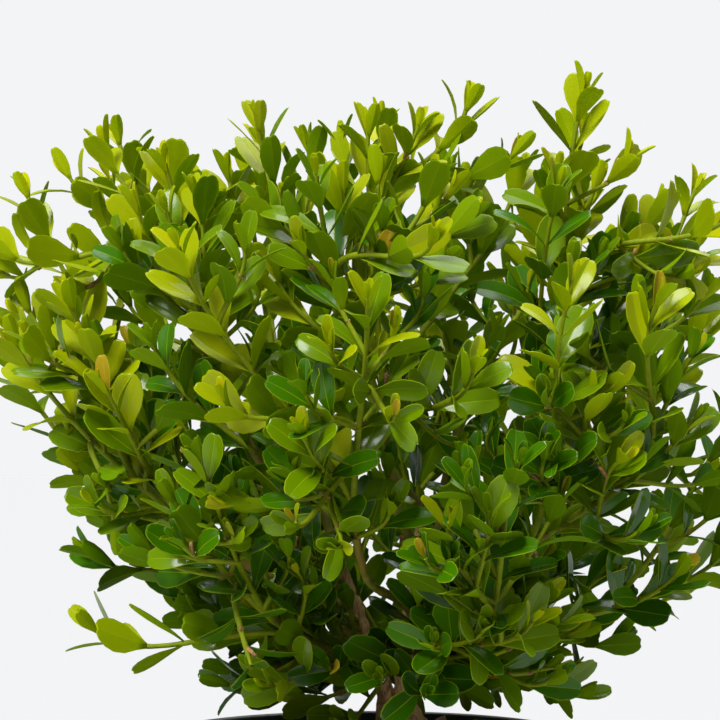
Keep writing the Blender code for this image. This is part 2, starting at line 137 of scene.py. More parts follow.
SEED = 11
MASS_SEED = 111
SHOOTS = 96
LOWEST_SHOOT = -50
SHOOT_JITTER = 5
SHOOT_REACH = (0.88, 1.02)
TOP_FROM, TOP_SHARE = 50, 0.95
SHY_AZIMUTH, SHY_BELOW, SHY_FADE, SHY_SHARE = -95, 4, 10, 0.22
FIRST_SIDE_SHOOT, LAST_SIDE_SHOOT = 0.16, 0.72
DRAWN_IN = (0, 0.07, 0.15, 0.25)
UPTURN = 0.5
TIP_UPTURN = 1.3
LEADER_RADIUS = 1.2 * MM
SHOOT_RADIUS = 0.9 * MM
TIP_RADIUS = 0.55 * MM

# Finer shoots, which the solids leave out
FINE_RADIUS = 0.75 * MM
FINE_TIP_RADIUS = 0.45 * MM
FINE_LENGTH = (18 * MM, 42 * MM)
FINE_UPTURN = 0.4
FINE_FIRST_FROM_TIP = 20 * MM
FINE_LAST_FROM_BASE = 5 * MM
FINE_STEP = 9.5 * MM
FINE_OPENING = (38, 58)
FINE_TOP_REACH, FINE_TOP_FROM, FINE_LEFT_MORE = 0.83, 0.55, 0.22
# Where no fine shoots end: azimuth, elevation and half the width and height, in degrees
THIN_SPOTS = ((86, -27, 46, 10), (94, 5, 38, 11))
FINE_BEHIND_TIP = 0.09
FINE_BY_RING = {"low": 1.5, "middle": 1.5, "upper": 1.2, "top": 1.2}
FINE_ON_BOUGH_FROM = 0.2
WEDGE_OVERLAP = 5 * MM
LEAF_OVERLAP = 8 * MM
SAMPLE_SPACING = 2 * MM
ROOT_SAMPLES = 3

# Leafy shoots round the fork
FOOT_SHOOTS = 94
FOOT_FIRST = 20
FOOT_JITTER = 10
FOOT_FROM = (0.1, 0.8)
FOOT_RISE = (-26, 50)
FOOT_LENGTH = (26 * MM, 54 * MM)
GOLDEN_TURN = 180 * (3 - math.sqrt(5))

# Leaves in crossed pairs, counted from a shoot's tip
NODE_STEPS = (0, 3.6 * MM, 7.0 * MM, 10.0 * MM, 12.5 * MM, 14.5 * MM, 16.0 * MM)
PAIR_SIZES = (0.34, 0.6, 0.84, 0.96, 1.0)
PAIR_OPENINGS = (9, 22, 34, 43, 50)
YOUNG_PAIRS = 2
LEAF_SIZES = (0.86, 1.08)
OPENING_JITTER = (-8, 10)
LEAF_ROLL = 0.25
SKYWARD = 0.35
LIFT, LIFT_OF_HANGING = 0.3, 0.6
BARE_BASE = 8 * MM
LEAF_SPACING = 1.8 * MM
LIMB_MARGIN = 0.8 * MM
SMALLER = (1, 0.84, 0.7)
LEAST_LEAVES = 4

# Tints of a leaf: shaded, which is painted shade for leaves low and deep in the crown, then old to new,
# and the bronze of some buds, each with the colours of its parts
TINTS = ("shaded", "mature", "fresh", "young", "tip", "bronze")
LEAF_PARTS = ("upper side", "rib", "underside")
TOP, RIB, UNDER = range(3)
NEWEST, BRONZE = 4, 5
BRONZE_SHARE = (0.09, 0.03)
NEWER_TOWARDS_TIP = (1.0, 0.6, 0.2, 0, -0.2, -0.4)
# How light a spray's leaves are, partly from how new they are and partly painted light and shade:
# as a start, by its height (newer growth and painted light higher up, painted shade lower down),
# its place in the crown (painted shade inside, painted light on the outermost) and its side
# (painted light, most on the left)
TINT_START, TINT_MOST = 0.97, 3.2
TINT_BY_HEIGHT, TINT_NEAR_TOP = 0.55, 1.4
PAINTED_SHADE_BY_SHARE, PAINTED_SHADE_PIVOT_SHARE = 2.1, 0.8
PAINTED_LIGHT_BY_SIDE = 0.3
SPRAY_TINT_JITTER, LEAF_TINT_JITTER = 1.1, 0.35


# ---------------------------------------------------------------- settings


def colour_setting(name, description, default):
    return bpy.props.FloatVectorProperty(
        name=name, description=description, default=default, min=0, max=1, size=3, subtype="COLOR"
    )


def length_setting(name, description, default):
    return bpy.props.FloatProperty(
        name=name, description=description, default=default, min=0, unit="LENGTH", precision=4
    )


def share_setting(name, description, default):
    return bpy.props.FloatProperty(
        name=name, description=description, default=default, min=0, max=1, subtype="FACTOR"
    )


class PotSettings(bpy.types.PropertyGroup):
    """The round nursery pot and what fills it."""

    height: length_setting("Height", "From the flat underside to the rim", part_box("pot")[1].z)
    rim_radius: length_setting("Rim radius", "Outer radius of the rim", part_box("pot")[1].x)
    base_radius: length_setting("Base radius", "Outer radius at the underside", 54 * MM)
    wall: length_setting("Wall", "Thickness of the plastic", 2 * MM)
    band: length_setting("Rim band", "Height of the proud band at the rim", 12 * MM)
    plastic: colour_setting("Plastic", "Colour of the pot", (0.013, 0.014, 0.018))
    compost: colour_setting("Compost", "Colour of the moist compost", (0.05, 0.026, 0.014))
    chip: colour_setting("Bark chips", "Colour of the red-brown chips", (0.26, 0.095, 0.04))
    chips: bpy.props.IntProperty(
        name="Chips", description="How many chips lie on the compost", default=520, min=0
    )
    seed: bpy.props.IntProperty(name="Seed", description="Deals the chips out", default=5)


class LimbSettings(bpy.types.PropertyGroup):
    """The bark of the trunk, stems and boughs."""

    bark_relief: length_setting("Bark relief", "Depth of the bark's furrows", 0.75 * MM)
    voxel: length_setting("Voxel", "Size of the steps that blend the forks", 0.42 * MM)
    bark: colour_setting("Bark", "Colour of the old bark", (0.6, 0.385, 0.165))
    furrow: colour_setting("Furrows", "Colour between the plates of bark", (0.17, 0.08, 0.028))
    green_bark: colour_setting("Green bark", "Colour of the boughs", (0.2, 0.235, 0.012))


class ShootSettings(bpy.types.PropertyGroup):
    """The leafy shoots, down to the finest."""

    fine_share: share_setting(
        "Finer shoots", "Share of the leaf axils that a finer shoot grows from", 0.26
    )
    green: colour_setting("Green shoot", "Colour of this year's shoots", (0.24, 0.31, 0.002))
    woody: colour_setting("Woody shoot", "Colour of older shoots", (0.21, 0.2, 0.015))
    dry: colour_setting("Dry tips", "Colour of clipped tips and bud scales", (0.42, 0.22, 0.07))


class LeafSettings(bpy.types.PropertyGroup):
    """The box leaves and their tints."""

    length: length_setting("Length", "Length of a full-grown leaf", 22.5 * MM)
    gloss: share_setting("Roughness", "Roughness of a mature leaf's upper side", 0.27)
    # The shaded tint is painted shade for leaves low and deep in the crown
    shaded: colour_setting("Shaded", "Leaves inside the crown", (0.021, 0.086, 0.0))
    mature: colour_setting("Mature", "Full-grown outer leaves", (0.042, 0.14, 0.0))
    fresh: colour_setting("Fresh", "This year's leaves", (0.12, 0.214, 0.0))
    young: colour_setting("Young", "New leaves near the top", (0.305, 0.36, 0.0))
    tip: colour_setting("Tip", "The newest leaves at a tip", (0.43, 0.45, 0.001))
    bronze: colour_setting("Bronze", "Some unopened leaves", (0.36, 0.25, 0.01))
    rib: colour_setting("Rib", "Pale midrib and margin", (0.3, 0.37, 0.008))
    underside: colour_setting("Underside", "The matt lower side", (0.25, 0.36, 0.0))


class StageSettings(bpy.types.PropertyGroup):
    """The camera, the light and the pale floor."""

    distance: length_setting("Distance", "From the camera to the plant", 1.1)
    height: length_setting("Height", "Height of the camera", 0.255)
    shift: bpy.props.FloatProperty(
        name="Sideways", description="Camera's place to the side", default=-2.8 * MM, unit="LENGTH"
    )
    lens: bpy.props.FloatProperty(
        name="Lens", description="Focal length of the camera in mm", default=158.4
    )
    floor: colour_setting("Floor", "Colour of the floor", (0.509, 0.511, 0.518))
    sky: colour_setting("Surroundings", "Colour of the pale surroundings", (0.9, 0.905, 0.92))


# ---------------------------------------------------------------- directions, places and lines


def unit(vector):
    return vector.normalized()


def square_to(vector, along):
    """The direction square to along that a vector leans towards."""
    return unit(vector - along * vector.dot(along))


def leaning(along, side, angle):
    """The direction that leans from along towards side by an angle in radians."""
    return along * math.cos(angle) + side * math.sin(angle)


def turned_about(vector, axis, angle):
    """A vector turned round an axis by an angle in radians."""
    found = vector.copy()
    found.rotate(Matrix.Rotation(angle, 3, axis))
    return found


def upwards(rise):
    return Vector((0, 0, rise))


def heading(azimuth, elevation):
    """The unit vector at an azimuth (0 is the front, 90 the right) and an elevation, in degrees."""
    a, e = math.radians(azimuth), math.radians(elevation)
    return Vector((math.sin(a) * math.cos(e), -math.cos(a) * math.cos(e), math.sin(e)))


def in_crown(place):
    """A place seen from the crown's centre, in shares of the crown's half sizes."""
    return [p / h for p, h in zip(place - CROWN_CENTRE, CROWN_HALF)]


def crown_point(azimuth, elevation, reach=1.0):
    """The point where the crown's outline lies in that direction from its centre."""
    way = heading(azimuth, elevation)
    power = SHOULDER_POWER if elevation > 0 else SKIRT_POWER
    flat, rise = math.hypot(way.x, way.y), abs(way.z)
    scale = reach / (flat**power + rise**power) ** (1 / power)
    return CROWN_CENTRE + Vector(w * h for w, h in zip(way, CROWN_HALF)) * scale


def crown_share(place):
    """How far out a place lies: 0 at the crown's centre and 1 on its outline."""
    x, y, z = in_crown(place)
    power = SHOULDER_POWER if z > 0 else SKIRT_POWER
    return (math.hypot(x, y) ** power + abs(z) ** power) ** (1 / power)


def crown_angles(place):
    """The azimuth and elevation, in degrees, that crown_point would take for a place."""
    x, y, z = in_crown(place)
    return math.degrees(math.atan2(x, -y)), math.degrees(math.atan2(z, math.hypot(x, y)))


def turn_apart(first, second):
    """How far apart two azimuths are, in degrees."""
    return abs((first - second + 180) % 360 - 180)


def on_side(azimuth):
    """How much an azimuth faces the shy side: 1 straight at it, 0 from a quarter turn away."""
    return max(0, math.cos(math.radians(azimuth - SHY_AZIMUTH)))


def bend(start, start_way, end, end_way, count, pull=PULL):
    """Points along a smooth curve between two places, with a short straight lead from the first."""
    points = [start]
    start = start + start_way * LEAD
    span = (end - start).length
    first, second = start + start_way * (span * pull), end - end_way * (span * PULL)
    for k in range(count - 1):
        t = k / (count - 2)
        s = 1 - t
        points.append(start * s**3 + first * (3 * s * s * t) + second * (3 * s * t * t) + end * t**3)
    return points


class Line:
    """A polyline with a radius that tapers from one end to the other."""

    def __init__(self, points, base_radius, tip_radius):
        self.points = points
        steps = [(b - a).length for a, b in zip(points, points[1:])]
        self.along = [sum(steps[:k]) for k in range(len(points))]
        self.length = sum(steps)
        self.radii = [base_radius + (tip_radius - base_radius) * s / self.length for s in self.along]

    def at(self, distance):
        """The point, direction and radius at a distance from the base."""
        k = 0
        while k < len(self.points) - 2 and self.along[k + 1] < distance:
            k += 1
        a, b = self.points[k], self.points[k + 1]
        share = (distance - self.along[k]) / (b - a).length
        radius = self.radii[k] + (self.radii[k + 1] - self.radii[k]) * share
        return a.lerp(b, share), unit(b - a), radius

    def samples(self):
        """Places and radii along the line, close enough together to test what comes near it."""
        count = max(2, math.ceil(self.length / SAMPLE_SPACING))
        found = [self.at(self.length * k / (count - 1)) for k in range(count)]
        return np.array([place for place, _, _ in found]), np.array([r for _, _, r in found])


# ---------------------------------------------------------------- trunk, stems and boughs


def trunk_line():
    """The short leaning trunk, flared at the compost, with its foot and its fork cut level."""
    points = [
        TRUNK_FOOT + TRUNK_LEAN * lean + upwards(TRUNK_HEIGHT * rise) for rise, lean in TRUNK_COURSE
    ]
    line = Line(points, TRUNK_FLARE_RADIUS, TRUNK_TOP_RADIUS)
    flare = TRUNK_FLARE_RADIUS - TRUNK_TOP_RADIUS
    line.radii = [TRUNK_TOP_RADIUS + flare * (1 - rise) ** 3 for rise, _ in TRUNK_COURSE]
    return line


def stem_lines(trunk):
    """Three stems that start beside each other on the trunk's flat top and lean outwards."""
    lines = []
    for azimuth in STEM_AZIMUTHS:
        out = heading(azimuth, 0)
        start = trunk.points[-1] + out * STEM_CIRCLE + upwards(CLEARANCE)
        end = FORK + out * STEM_SPREAD + upwards(STEM_RISE)
        points = bend(start, upwards(1), end, heading(azimuth, STEM_END), STEM_POINTS, STEM_PULL)
        lines.append(Line(points, STEM_BASE_RADIUS, STEM_TIP_RADIUS))
    return lines


def masses():
    """Each mass of foliage: its name, its direction from the fork and how far out its bough ends."""
    found = []
    for ring, count, elevation, first, share in RINGS:
        for k in range(count):
            way = crown_point(first + 360 * k / count, elevation) - FORK
            name = ring if count == 1 else f"{ring}_{k + 1}"
            found.append((name, unit(way), way.length * share))
    return found


def azimuth_of(way):
    return math.degrees(math.atan2(way.x, -way.y))


def shared_out(wedges):
    """The masses that each stem carries, from low to high: those on its side, and the top one."""
    carried = [[] for _ in STEM_AZIMUTHS]
    for wedge in wedges[:-1]:
        turns = [turn_apart(azimuth_of(wedge[1]), azimuth) for azimuth in STEM_AZIMUTHS]
        carried[turns.index(min(turns))].append(wedge)
    min(carried, key=len).append(wedges[-1])
    return carried


def bough_lines(stems, wedges):
    """A bough for each mass, side by side up its stem. The highest one carries the stem on."""
    lines = {}
    for stem, carried in zip(stems, shared_out(wedges)):
        step = (HIGHEST_BOUGH - LOWEST_BOUGH) / (len(carried) - 2)
        for place, (name, way, distance) in enumerate(carried):
            end = FORK + way * distance
            if place == len(carried) - 1:
                axis, leave, _ = stem.at(stem.length)
                start = axis + leave * CLEARANCE
            else:
                axis, along, radius = stem.at(stem.length * (LOWEST_BOUGH + step * place))
                aim = end - axis
                turn = max(along.angle(aim) * FORK_SHARE, LEAST_FORK)
                leave = leaning(along, square_to(aim, along), turn)
                gap = radius + CLEARANCE + BOUGH_BASE_RADIUS * math.cos(turn)
                start = axis + leave * (gap / math.sin(turn))
            points = bend(start, leave, end, way, BOUGH_POINTS)
            lines[name] = Line(points, BOUGH_BASE_RADIUS, BOUGH_TIP_RADIUS)
    return lines


# ---------------------------------------------------------------- room and direction of the shoots


class Space:
    """The room that one mass has: its wedge of the crown, above the rim and clear of every limb."""

    def __init__(self, way, other_ways, limbs):
        self.walls = np.array([unit(other - way) for other in other_ways]).reshape(-1, 3)
        sampled = [limb.samples() for limb in limbs]
        self.limb_points = np.concatenate([points for points, _ in sampled])
        self.limb_radii = np.concatenate([radii for _, radii in sampled])

    def holds(self, points, limb_margin, overlap=0.0):
        """True if these places are inside the wedge, but for an overlap, and clear of the limbs."""
        past_walls = (points - np.array(FORK)) @ self.walls.T
        if past_walls.max(initial=overlap) > overlap or points[:, 2].min() < LOWEST_LEAF:
            return False
        apart = np.linalg.norm(points[:, None] - self.limb_points[None], axis=2)
        return (apart - self.limb_radii[None]).min() > limb_margin


def kept_reach(azimuth, elevation):
    """The share of its reach that a shoot keeps: less on the very top and low on the left."""
    if elevation > TOP_FROM:
        return TOP_SHARE
    low = min(max((SHY_BELOW - elevation) / SHY_FADE, 0), 1)
    return 1 - SHY_SHARE * on_side(azimuth) * low


def shoot_tips():
    """Where the shoots end: an even seeded scatter over the crown, with the tall shoots in it."""
    draw = random.Random(SEED)
    lowest = math.sin(math.radians(LOWEST_SHOOT))
    scatter = []
    for k in range(SHOOTS):
        rise = 1 - (1 - lowest) * (k + 0.5) / SHOOTS
        azimuth = k * GOLDEN_TURN + draw.uniform(-SHOOT_JITTER, SHOOT_JITTER)
        elevation = math.degrees(math.asin(rise)) + draw.uniform(-SHOOT_JITTER, SHOOT_JITTER)
        reach = draw.uniform(*SHOOT_REACH) * kept_reach(azimuth, elevation)
        scatter.append((azimuth, elevation, reach))
    for tall in TALL_SHOOTS:
        way = heading(tall[0], tall[1])
        nearest = max(scatter, key=lambda tip: way.dot(heading(tip[0], tip[1])))
        scatter[scatter.index(nearest)] = tall
    return [crown_point(*tip) for tip in scatter]


def tips_of_masses(wedges):
    """The shoot tips that lie in each mass's wedge, those nearest the wedge's middle first."""
    found = [[] for _ in wedges]
    for tip in shoot_tips():
        turns = [way.dot(unit(tip - FORK)) for _, way, _ in wedges]
        found[turns.index(max(turns))].append((-max(turns), tuple(tip)))
    return [[Vector(tip) for _, tip in sorted(tips)] for tips in found]


def upturned(tip):
    """Shoots end pointing outwards and up towards the light."""
    return unit(unit(tip - CROWN_CENTRE) + upwards(TIP_UPTURN))


def grow_twigs(way, bough, tips, space):
    """The leader, which carries the bough on to the middle tip, and a side shoot for each other."""
    leave = unit(bough.points[-1] - bough.points[-2])
    start = bough.points[-1] - leave * BOUGH_TIP_RADIUS
    points = bend(start, leave, tips[0], upturned(tips[0]), SHOOT_POINTS)
    leader = Line(points, LEADER_RADIUS, TIP_RADIUS)
    twigs = [leader]
    side_tips = tips[:0:-1]
    step = (LAST_SIDE_SHOOT - FIRST_SIDE_SHOOT) / max(1, len(side_tips) - 1)
    for k, tip in enumerate(side_tips):
        place, along, _ = leader.at(leader.length * (FIRST_SIDE_SHOOT + step * k))
        middle = FORK + way * (tip - FORK).length
        for share in DRAWN_IN:
            aim = tip.lerp(middle, share)
            leave = unit(unit(aim - place) + along * UPTURN)
            points = bend(place, leave, aim, upturned(aim), SHOOT_POINTS)
            shoot = Line(points, SHOOT_RADIUS, TIP_RADIUS)
            if space.holds(shoot.samples()[0], SHOOT_RADIUS + CLEARANCE):
                twigs.append(shoot)
                break
    return twigs


def crossing(twig, draw):
    """A direction across a twig's tip, turned at random, that its first pair of leaves lies in."""
    along = twig.at(twig.length)[1]
    return turned_about(along.orthogonal().normalized(), along, draw.uniform(0, math.tau))


def may_end_at(tip, twig_share):
    """True if a finer shoot may end there: inside its reach, behind its twig's tip, in no thin spot."""
    azimuth, elevation = crown_angles(tip)
    for a, e, half_width, half_height in THIN_SPOTS:
        if turn_apart(azimuth, a) < half_width and abs(elevation - e) < half_height:
            return False
    reach = kept_reach(azimuth, elevation)
    if tip.z > CROWN_CENTRE.z + FINE_TOP_FROM * CROWN_HALF.z:
        reach = FINE_TOP_REACH + FINE_LEFT_MORE * on_side(azimuth) ** 4
    return crown_share(tip) <= max(reach, twig_share - FINE_BEHIND_TIP)


def fine_shoot_to(place, leave, tip, along, space, margin, overlap=0.0):
    """A finer shoot to a tip, or None where it would leave its space past the root or meet a limb."""
    points = bend(place, leave, tip, unit(upturned(tip) + along), SHOOT_POINTS)
    shoot = Line(points, FINE_RADIUS, FINE_TIP_RADIUS)
    outer = shoot.samples()[0][ROOT_SAMPLES:]
    return shoot if len(outer) and space.holds(outer, margin, overlap) else None


def finer_shoot(place, along, side, twig_share, space, draw):
    """A short shoot from a leaf's axil, or None where none has room."""
    leave = unit(leaning(along, side, math.radians(draw.uniform(*FINE_OPENING))))
    length = draw.uniform(*FINE_LENGTH)
    for smaller in SMALLER:
        tip = place + leave * (length * smaller) + upwards(UPTURN * length * smaller * FINE_UPTURN)
        if may_end_at(tip, twig_share):
            shoot = fine_shoot_to(place, leave, tip, along, space, SHOOT_RADIUS, WEDGE_OVERLAP)
            if shoot:
                return shoot
    return None


def finer_shoots(twigs, bough, space, share, draw):
    """Finer shoots from the axils of the twigs and along the bough."""
    found = []
    for twig in [*twigs, bough]:
        across = crossing(twig, draw)
        twig_share = crown_share(twig.points[-1])
        distance = twig.length - FINE_FIRST_FROM_TIP
        lowest = twig.length * FINE_ON_BOUGH_FROM if twig is bough else FINE_LAST_FROM_BASE
        while distance > lowest:
            place, along, _ = twig.at(distance)
            across = square_to(across, along)
            for side in (across, -across):
                if draw.random() < share:
                    shoot = finer_shoot(place, along, side, twig_share, space, draw)
                    found += [shoot] if shoot else []
            across = along.cross(across)
            distance -= FINE_STEP
    return found


def foot_shoots(stems, low_boughs, space, draw):
    """Short leafy shoots all round the fork, from the lower stems and the start of the low boughs."""
    found = []
    for k in range(FOOT_SHOOTS):
        azimuth = FOOT_FIRST + k * GOLDEN_TURN + draw.uniform(-FOOT_JITTER, FOOT_JITTER)
        limbs = (stems, low_boughs)[k % 2]
        limb = min(limbs, key=lambda line: turn_apart(azimuth_of(line.points[-1] - FORK), azimuth))
        place, _, _ = limb.at(limb.length * draw.uniform(*FOOT_FROM))
        leave = heading(azimuth, draw.uniform(*FOOT_RISE))
        for smaller in SMALLER:
            tip = place + leave * (draw.uniform(*FOOT_LENGTH) * smaller)
            shoot = fine_shoot_to(place, leave, tip, leave, space, CLEARANCE)
            if shoot:
                found.append(shoot)
                break
    return found


@functools.cache
def grown_plant(fine_share):
    """Every line of the plant: trunk, stems, boughs by mass, and each mass's twigs and its space."""
    trunk = trunk_line()
    stems = stem_lines(trunk)
    wedges = masses()
    boughs = bough_lines(stems, wedges)
    limbs = [trunk, *stems, *boughs.values()]
    ways = [way for _, way, _ in wedges]
    grown = {}
    for k, tips in enumerate(tips_of_masses(wedges)):
        name, way, _ = wedges[k]
        space = Space(way, ways[:k] + ways[k + 1 :], limbs)
        twigs = grow_twigs(way, boughs[name], tips, space)
        draw = random.Random(MASS_SEED + k)
        share = fine_share * FINE_BY_RING[name.split("_")[0]]
        fine = finer_shoots(twigs, boughs[name], space, share, draw)
        grown[name] = (twigs, fine, space, draw)
    space, draw = Space(None, [], limbs), random.Random(MASS_SEED - 1)
    low_boughs = [bough for name, bough in boughs.items() if name.startswith("low")]
    grown["foot"] = ([], foot_shoots(stems, low_boughs, space, draw), space, draw)
    return trunk, stems, boughs, grown


# ---------------------------------------------------------------- making objects


def place_piece(name, mesh, nodes):
    """Puts a finished mesh in the scene as a piece of the part that stands for CAD nodes."""
    mesh.name = name
    piece = bpy.data.objects.new(name, mesh)
    bpy.context.scene.collection.objects.link(piece)
    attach(piece, BODY)
    if nodes:
        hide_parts(*nodes)


def stood_for(name):
    """The CAD nodes that a mass's pieces stand for: none for the shoots round the foot."""
    return [node for node in (f"foliage_{name}",) if node in frame["nodes"]]


def evaluated_mesh(name, data, modifiers):
    """The plain mesh that an object with these modifiers gives. The object is removed."""
    carrier = bpy.data.objects.new(name, data)
    bpy.context.scene.collection.objects.link(carrier)
    for kind, values in modifiers:
        modifier = carrier.modifiers.new(kind.lower(), kind)
        for key, value in values.items():
            if key.startswith("input "):
                label = key.removeprefix("input ")
                modifier[socket_identifier(values["node_group"], label)] = value
            else:
                setattr(modifier, key, value)
    graph = bpy.context.evaluated_depsgraph_get()
    mesh = bpy.data.meshes.new_from_object(carrier.evaluated_get(graph))
    bpy.data.objects.remove(carrier)
    return mesh


def socket_identifier(tree, name):
    """The identifier of a tree's input socket."""
    for item in tree.interface.items_tree:
        if item.item_type == "SOCKET" and item.in_out == "INPUT" and item.name == name:
            return item.identifier
    raise KeyError(name)


# Attributes that only the trees need
SPARE_ATTRIBUTES = ("thickness", "part", "tint", "shape", "turn", "size")


def without_spares(mesh):
    """The mesh without the attributes that only its tree needs."""
    for name in SPARE_ATTRIBUTES:
        if name in mesh.attributes:
            mesh.attributes.remove(mesh.attributes[name])
    return mesh


def smooth_mesh(shape, name):
    """Turns a bmesh into a smooth-shaded mesh and frees it."""
    for face in shape.faces:
        face.smooth = True
    mesh = bpy.data.meshes.new(name)
    shape.to_mesh(mesh)
    shape.free()
    return mesh


def ring_faces(shape, rings, closed=True):
    """Quads between rings of corners, and a face over each end where closed."""
    for a, b in zip(rings, rings[1:]):
        for k in range(len(a)):
            m = (k + 1) % len(a)
            shape.faces.new((a[k], a[m], b[m], b[k]))
    if closed:
        shape.faces.new(rings[0][::-1])
        shape.faces.new(rings[-1])


def sweep(shape, line, sides, spacing, start=0.0, end=0.0, swelling=None):
    """Sweeps a round section along a line. start and end lengthen it past its ends."""
    length = line.length + start + end
    count = max(2, math.ceil(length / spacing) + 1)
    turns = [math.tau * m / sides for m in range(sides)]
    across = line.at(0)[1].orthogonal().normalized()
    rings = []
    for k in range(count):
        distance = -start + length * k / (count - 1)
        on_line = min(max(distance, 0), line.length)
        place, along, radius = line.at(on_line)
        place = place + along * (distance - on_line)
        if swelling:
            radius *= swelling(distance)
        across = square_to(across, along)
        over = along.cross(across)
        ring = [place + leaning(across, over, turn) * radius for turn in turns]
        rings.append([shape.verts.new(corner) for corner in ring])
    ring_faces(shape, rings)


# ---------------------------------------------------------------- materials


NODE_STEP = 200
# Numbers of the Mix node's sockets for colours
MIX_FIRST, MIX_SECOND, MIX_RESULT = 6, 7, 2
BLOTCH_DETAIL, GRAIN_DETAIL = 3, 6
GRAIN_FINER = 5.3
NOISE_MIDDLE = 0.5
LEAF_GRAIN, LEAF_BUMP = (700, 0.2, 0.4), (0.6, 0.12 * MM)
GLOW_COLOUR, GLOW_DEPTH = (0.6, 1.0, 0.2), 1.2 * MM


def new_material(name, **constants):
    """A material whose Principled shader has these constant values."""
    made = bpy.data.materials.new(name)
    made.use_nodes = True
    shader = made.node_tree.nodes["Principled BSDF"]
    for key, value in constants.items():
        shader.inputs[key.replace("_", " ")].default_value = value
    return made, made.node_tree, shader


def add_node(tree, kind, settings, constants):
    """Adds a node with its settings and the constant values of its inputs, right of the others."""
    node = tree.nodes.new(kind)
    node.location = (NODE_STEP * len(tree.nodes), 0)
    for key, value in settings.items():
        setattr(node, key, value)
    for key, value in constants.items():
        node.inputs[key].default_value = value
    return node


def wire(tree, nodes, links, **there):
    """Adds nodes, by name, and links them with each other and with those that are there already.

    A link says "node.socket > node.socket", with the name or the number of each socket.
    """
    for name, entry in nodes.items():
        there[name] = add_node(tree, *entry)
    for text in links:
        (start, output), (end, target) = (side.split(".") for side in text.split(" > "))
        output = there[start].outputs[int(output) if output.isdigit() else output]
        target = there[end].inputs[int(target) if target.isdigit() else target]
        tree.links.new(output, target)
    return there


@functools.cache
def mottle_group():
    """A mask of soft blotches with a finer grain in them, from Object coordinates."""
    tree = bpy.data.node_groups.new("mottle", "ShaderNodeTree")
    tree.interface.new_socket("Vector", in_out="INPUT", socket_type="NodeSocketVector")
    for label in ("Scale", "Spread", "Grain"):
        tree.interface.new_socket(label, in_out="INPUT", socket_type="NodeSocketFloat")
    for label in ("Mask", "Height"):
        tree.interface.new_socket(label, in_out="OUTPUT", socket_type="NodeSocketFloat")
    nodes = {
        "given": ("NodeGroupInput", {}, {}),
        "blotches": ("ShaderNodeTexNoise", {}, {"Detail": BLOTCH_DETAIL}),
        "finer": ("ShaderNodeMath", {"operation": "MULTIPLY"}, {1: GRAIN_FINER}),
        "grain": ("ShaderNodeTexNoise", {}, {"Detail": GRAIN_DETAIL}),
        "mixed": ("ShaderNodeMix", {"data_type": "FLOAT"}, {}),
        "low": ("ShaderNodeMath", {"operation": "SUBTRACT"}, {0: NOISE_MIDDLE}),
        "high": ("ShaderNodeMath", {"operation": "ADD"}, {0: NOISE_MIDDLE}),
        "mask": ("ShaderNodeMapRange", {"interpolation_type": "SMOOTHSTEP"}, {}),
        "result": ("NodeGroupOutput", {}, {}),
    }
    links = (
        "given.Vector > blotches.Vector",
        "given.Vector > grain.Vector",
        "given.Scale > blotches.Scale",
        "given.Scale > finer.0",
        "finer.0 > grain.Scale",
        "given.Grain > mixed.0",
        "blotches.Fac > mixed.2",
        "grain.Fac > mixed.3",
        "given.Spread > low.1",
        "given.Spread > high.1",
        "mixed.0 > mask.Value",
        "low.0 > mask.From Min",
        "high.0 > mask.From Max",
        "mask.Result > result.Mask",
        "mixed.0 > result.Height",
    )
    wire(tree, nodes, links)
    return tree


def add_mottle(tree, scale, spread, grain, stretch=(1, 1, 1)):
    """The mottle group on Object coordinates that are stretched first."""
    given = {"Scale": scale, "Spread": spread, "Grain": grain}
    nodes = {
        "coordinates": ("ShaderNodeTexCoord", {}, {}),
        "stretched": ("ShaderNodeMapping", {}, {"Scale": stretch}),
        "mottle": ("ShaderNodeGroup", {"node_tree": mottle_group()}, given),
    }
    links = ("coordinates.Object > stretched.Vector", "stretched.Vector > mottle.Vector")
    return wire(tree, nodes, links)["mottle"]


def mix_colours(tree, mask, first, second, target):
    """Mixes two colours by a mask into a shader's colour input."""
    constants = {MIX_FIRST: (*first, 1), MIX_SECOND: (*second, 1)}
    mix = add_node(tree, "ShaderNodeMix", {"data_type": "RGBA"}, constants)
    tree.links.new(mask, mix.inputs[0])
    tree.links.new(mix.outputs[MIX_RESULT], target)


def add_bump(tree, height, shader, strength, distance):
    """Raises a shader's surface by a height."""
    bump = add_node(tree, "ShaderNodeBump", {}, {"Strength": strength, "Distance": distance})
    tree.links.new(height, bump.inputs["Height"])
    tree.links.new(bump.outputs["Normal"], shader.inputs["Normal"])


def mottled_material(name, first, second, roughness, mottle, bump):
    """Two colours in soft blotches with a grained surface. mottle is scale, spread and grain."""
    made, tree, shader = new_material(name, Roughness=roughness)
    mottle = add_mottle(tree, *mottle)
    mix_colours(tree, mottle.outputs["Mask"], first, second, shader.inputs["Base Color"])
    add_bump(tree, mottle.outputs["Height"], shader, 1.0, bump)
    return made


def streaked_material(name, colours, streaks, patches, share, bump, **constants):
    """Bark with streaks up the stem in its first two colours, and a share of patches in its third.

    streaks and patches are mottles, and bump is a strength and a distance.
    """
    dark, light, third = ((*colour, 1) for colour in colours)
    made, tree, shader = new_material(name, **constants)
    mottles = {"streaks": add_mottle(tree, *streaks), "patches": add_mottle(tree, *patches)}
    colour_mix = {"data_type": "RGBA"}
    nodes = {
        "streaked": ("ShaderNodeMix", colour_mix, {MIX_FIRST: dark, MIX_SECOND: light}),
        "shared": ("ShaderNodeMath", {"operation": "MULTIPLY"}, {1: share}),
        "patched": ("ShaderNodeMix", colour_mix, {MIX_SECOND: third}),
    }
    links = (
        "streaks.Mask > streaked.0",
        "patches.Mask > shared.0",
        "shared.0 > patched.0",
        f"streaked.{MIX_RESULT} > patched.{MIX_FIRST}",
        f"patched.{MIX_RESULT} > shader.Base Color",
    )
    wire(tree, nodes, links, shader=shader, **mottles)
    add_bump(tree, mottles["streaks"].outputs["Height"], shader, *bump)
    return made


def scaled(colour, factor):
    return tuple(min(1.0, c * factor) for c in colour)


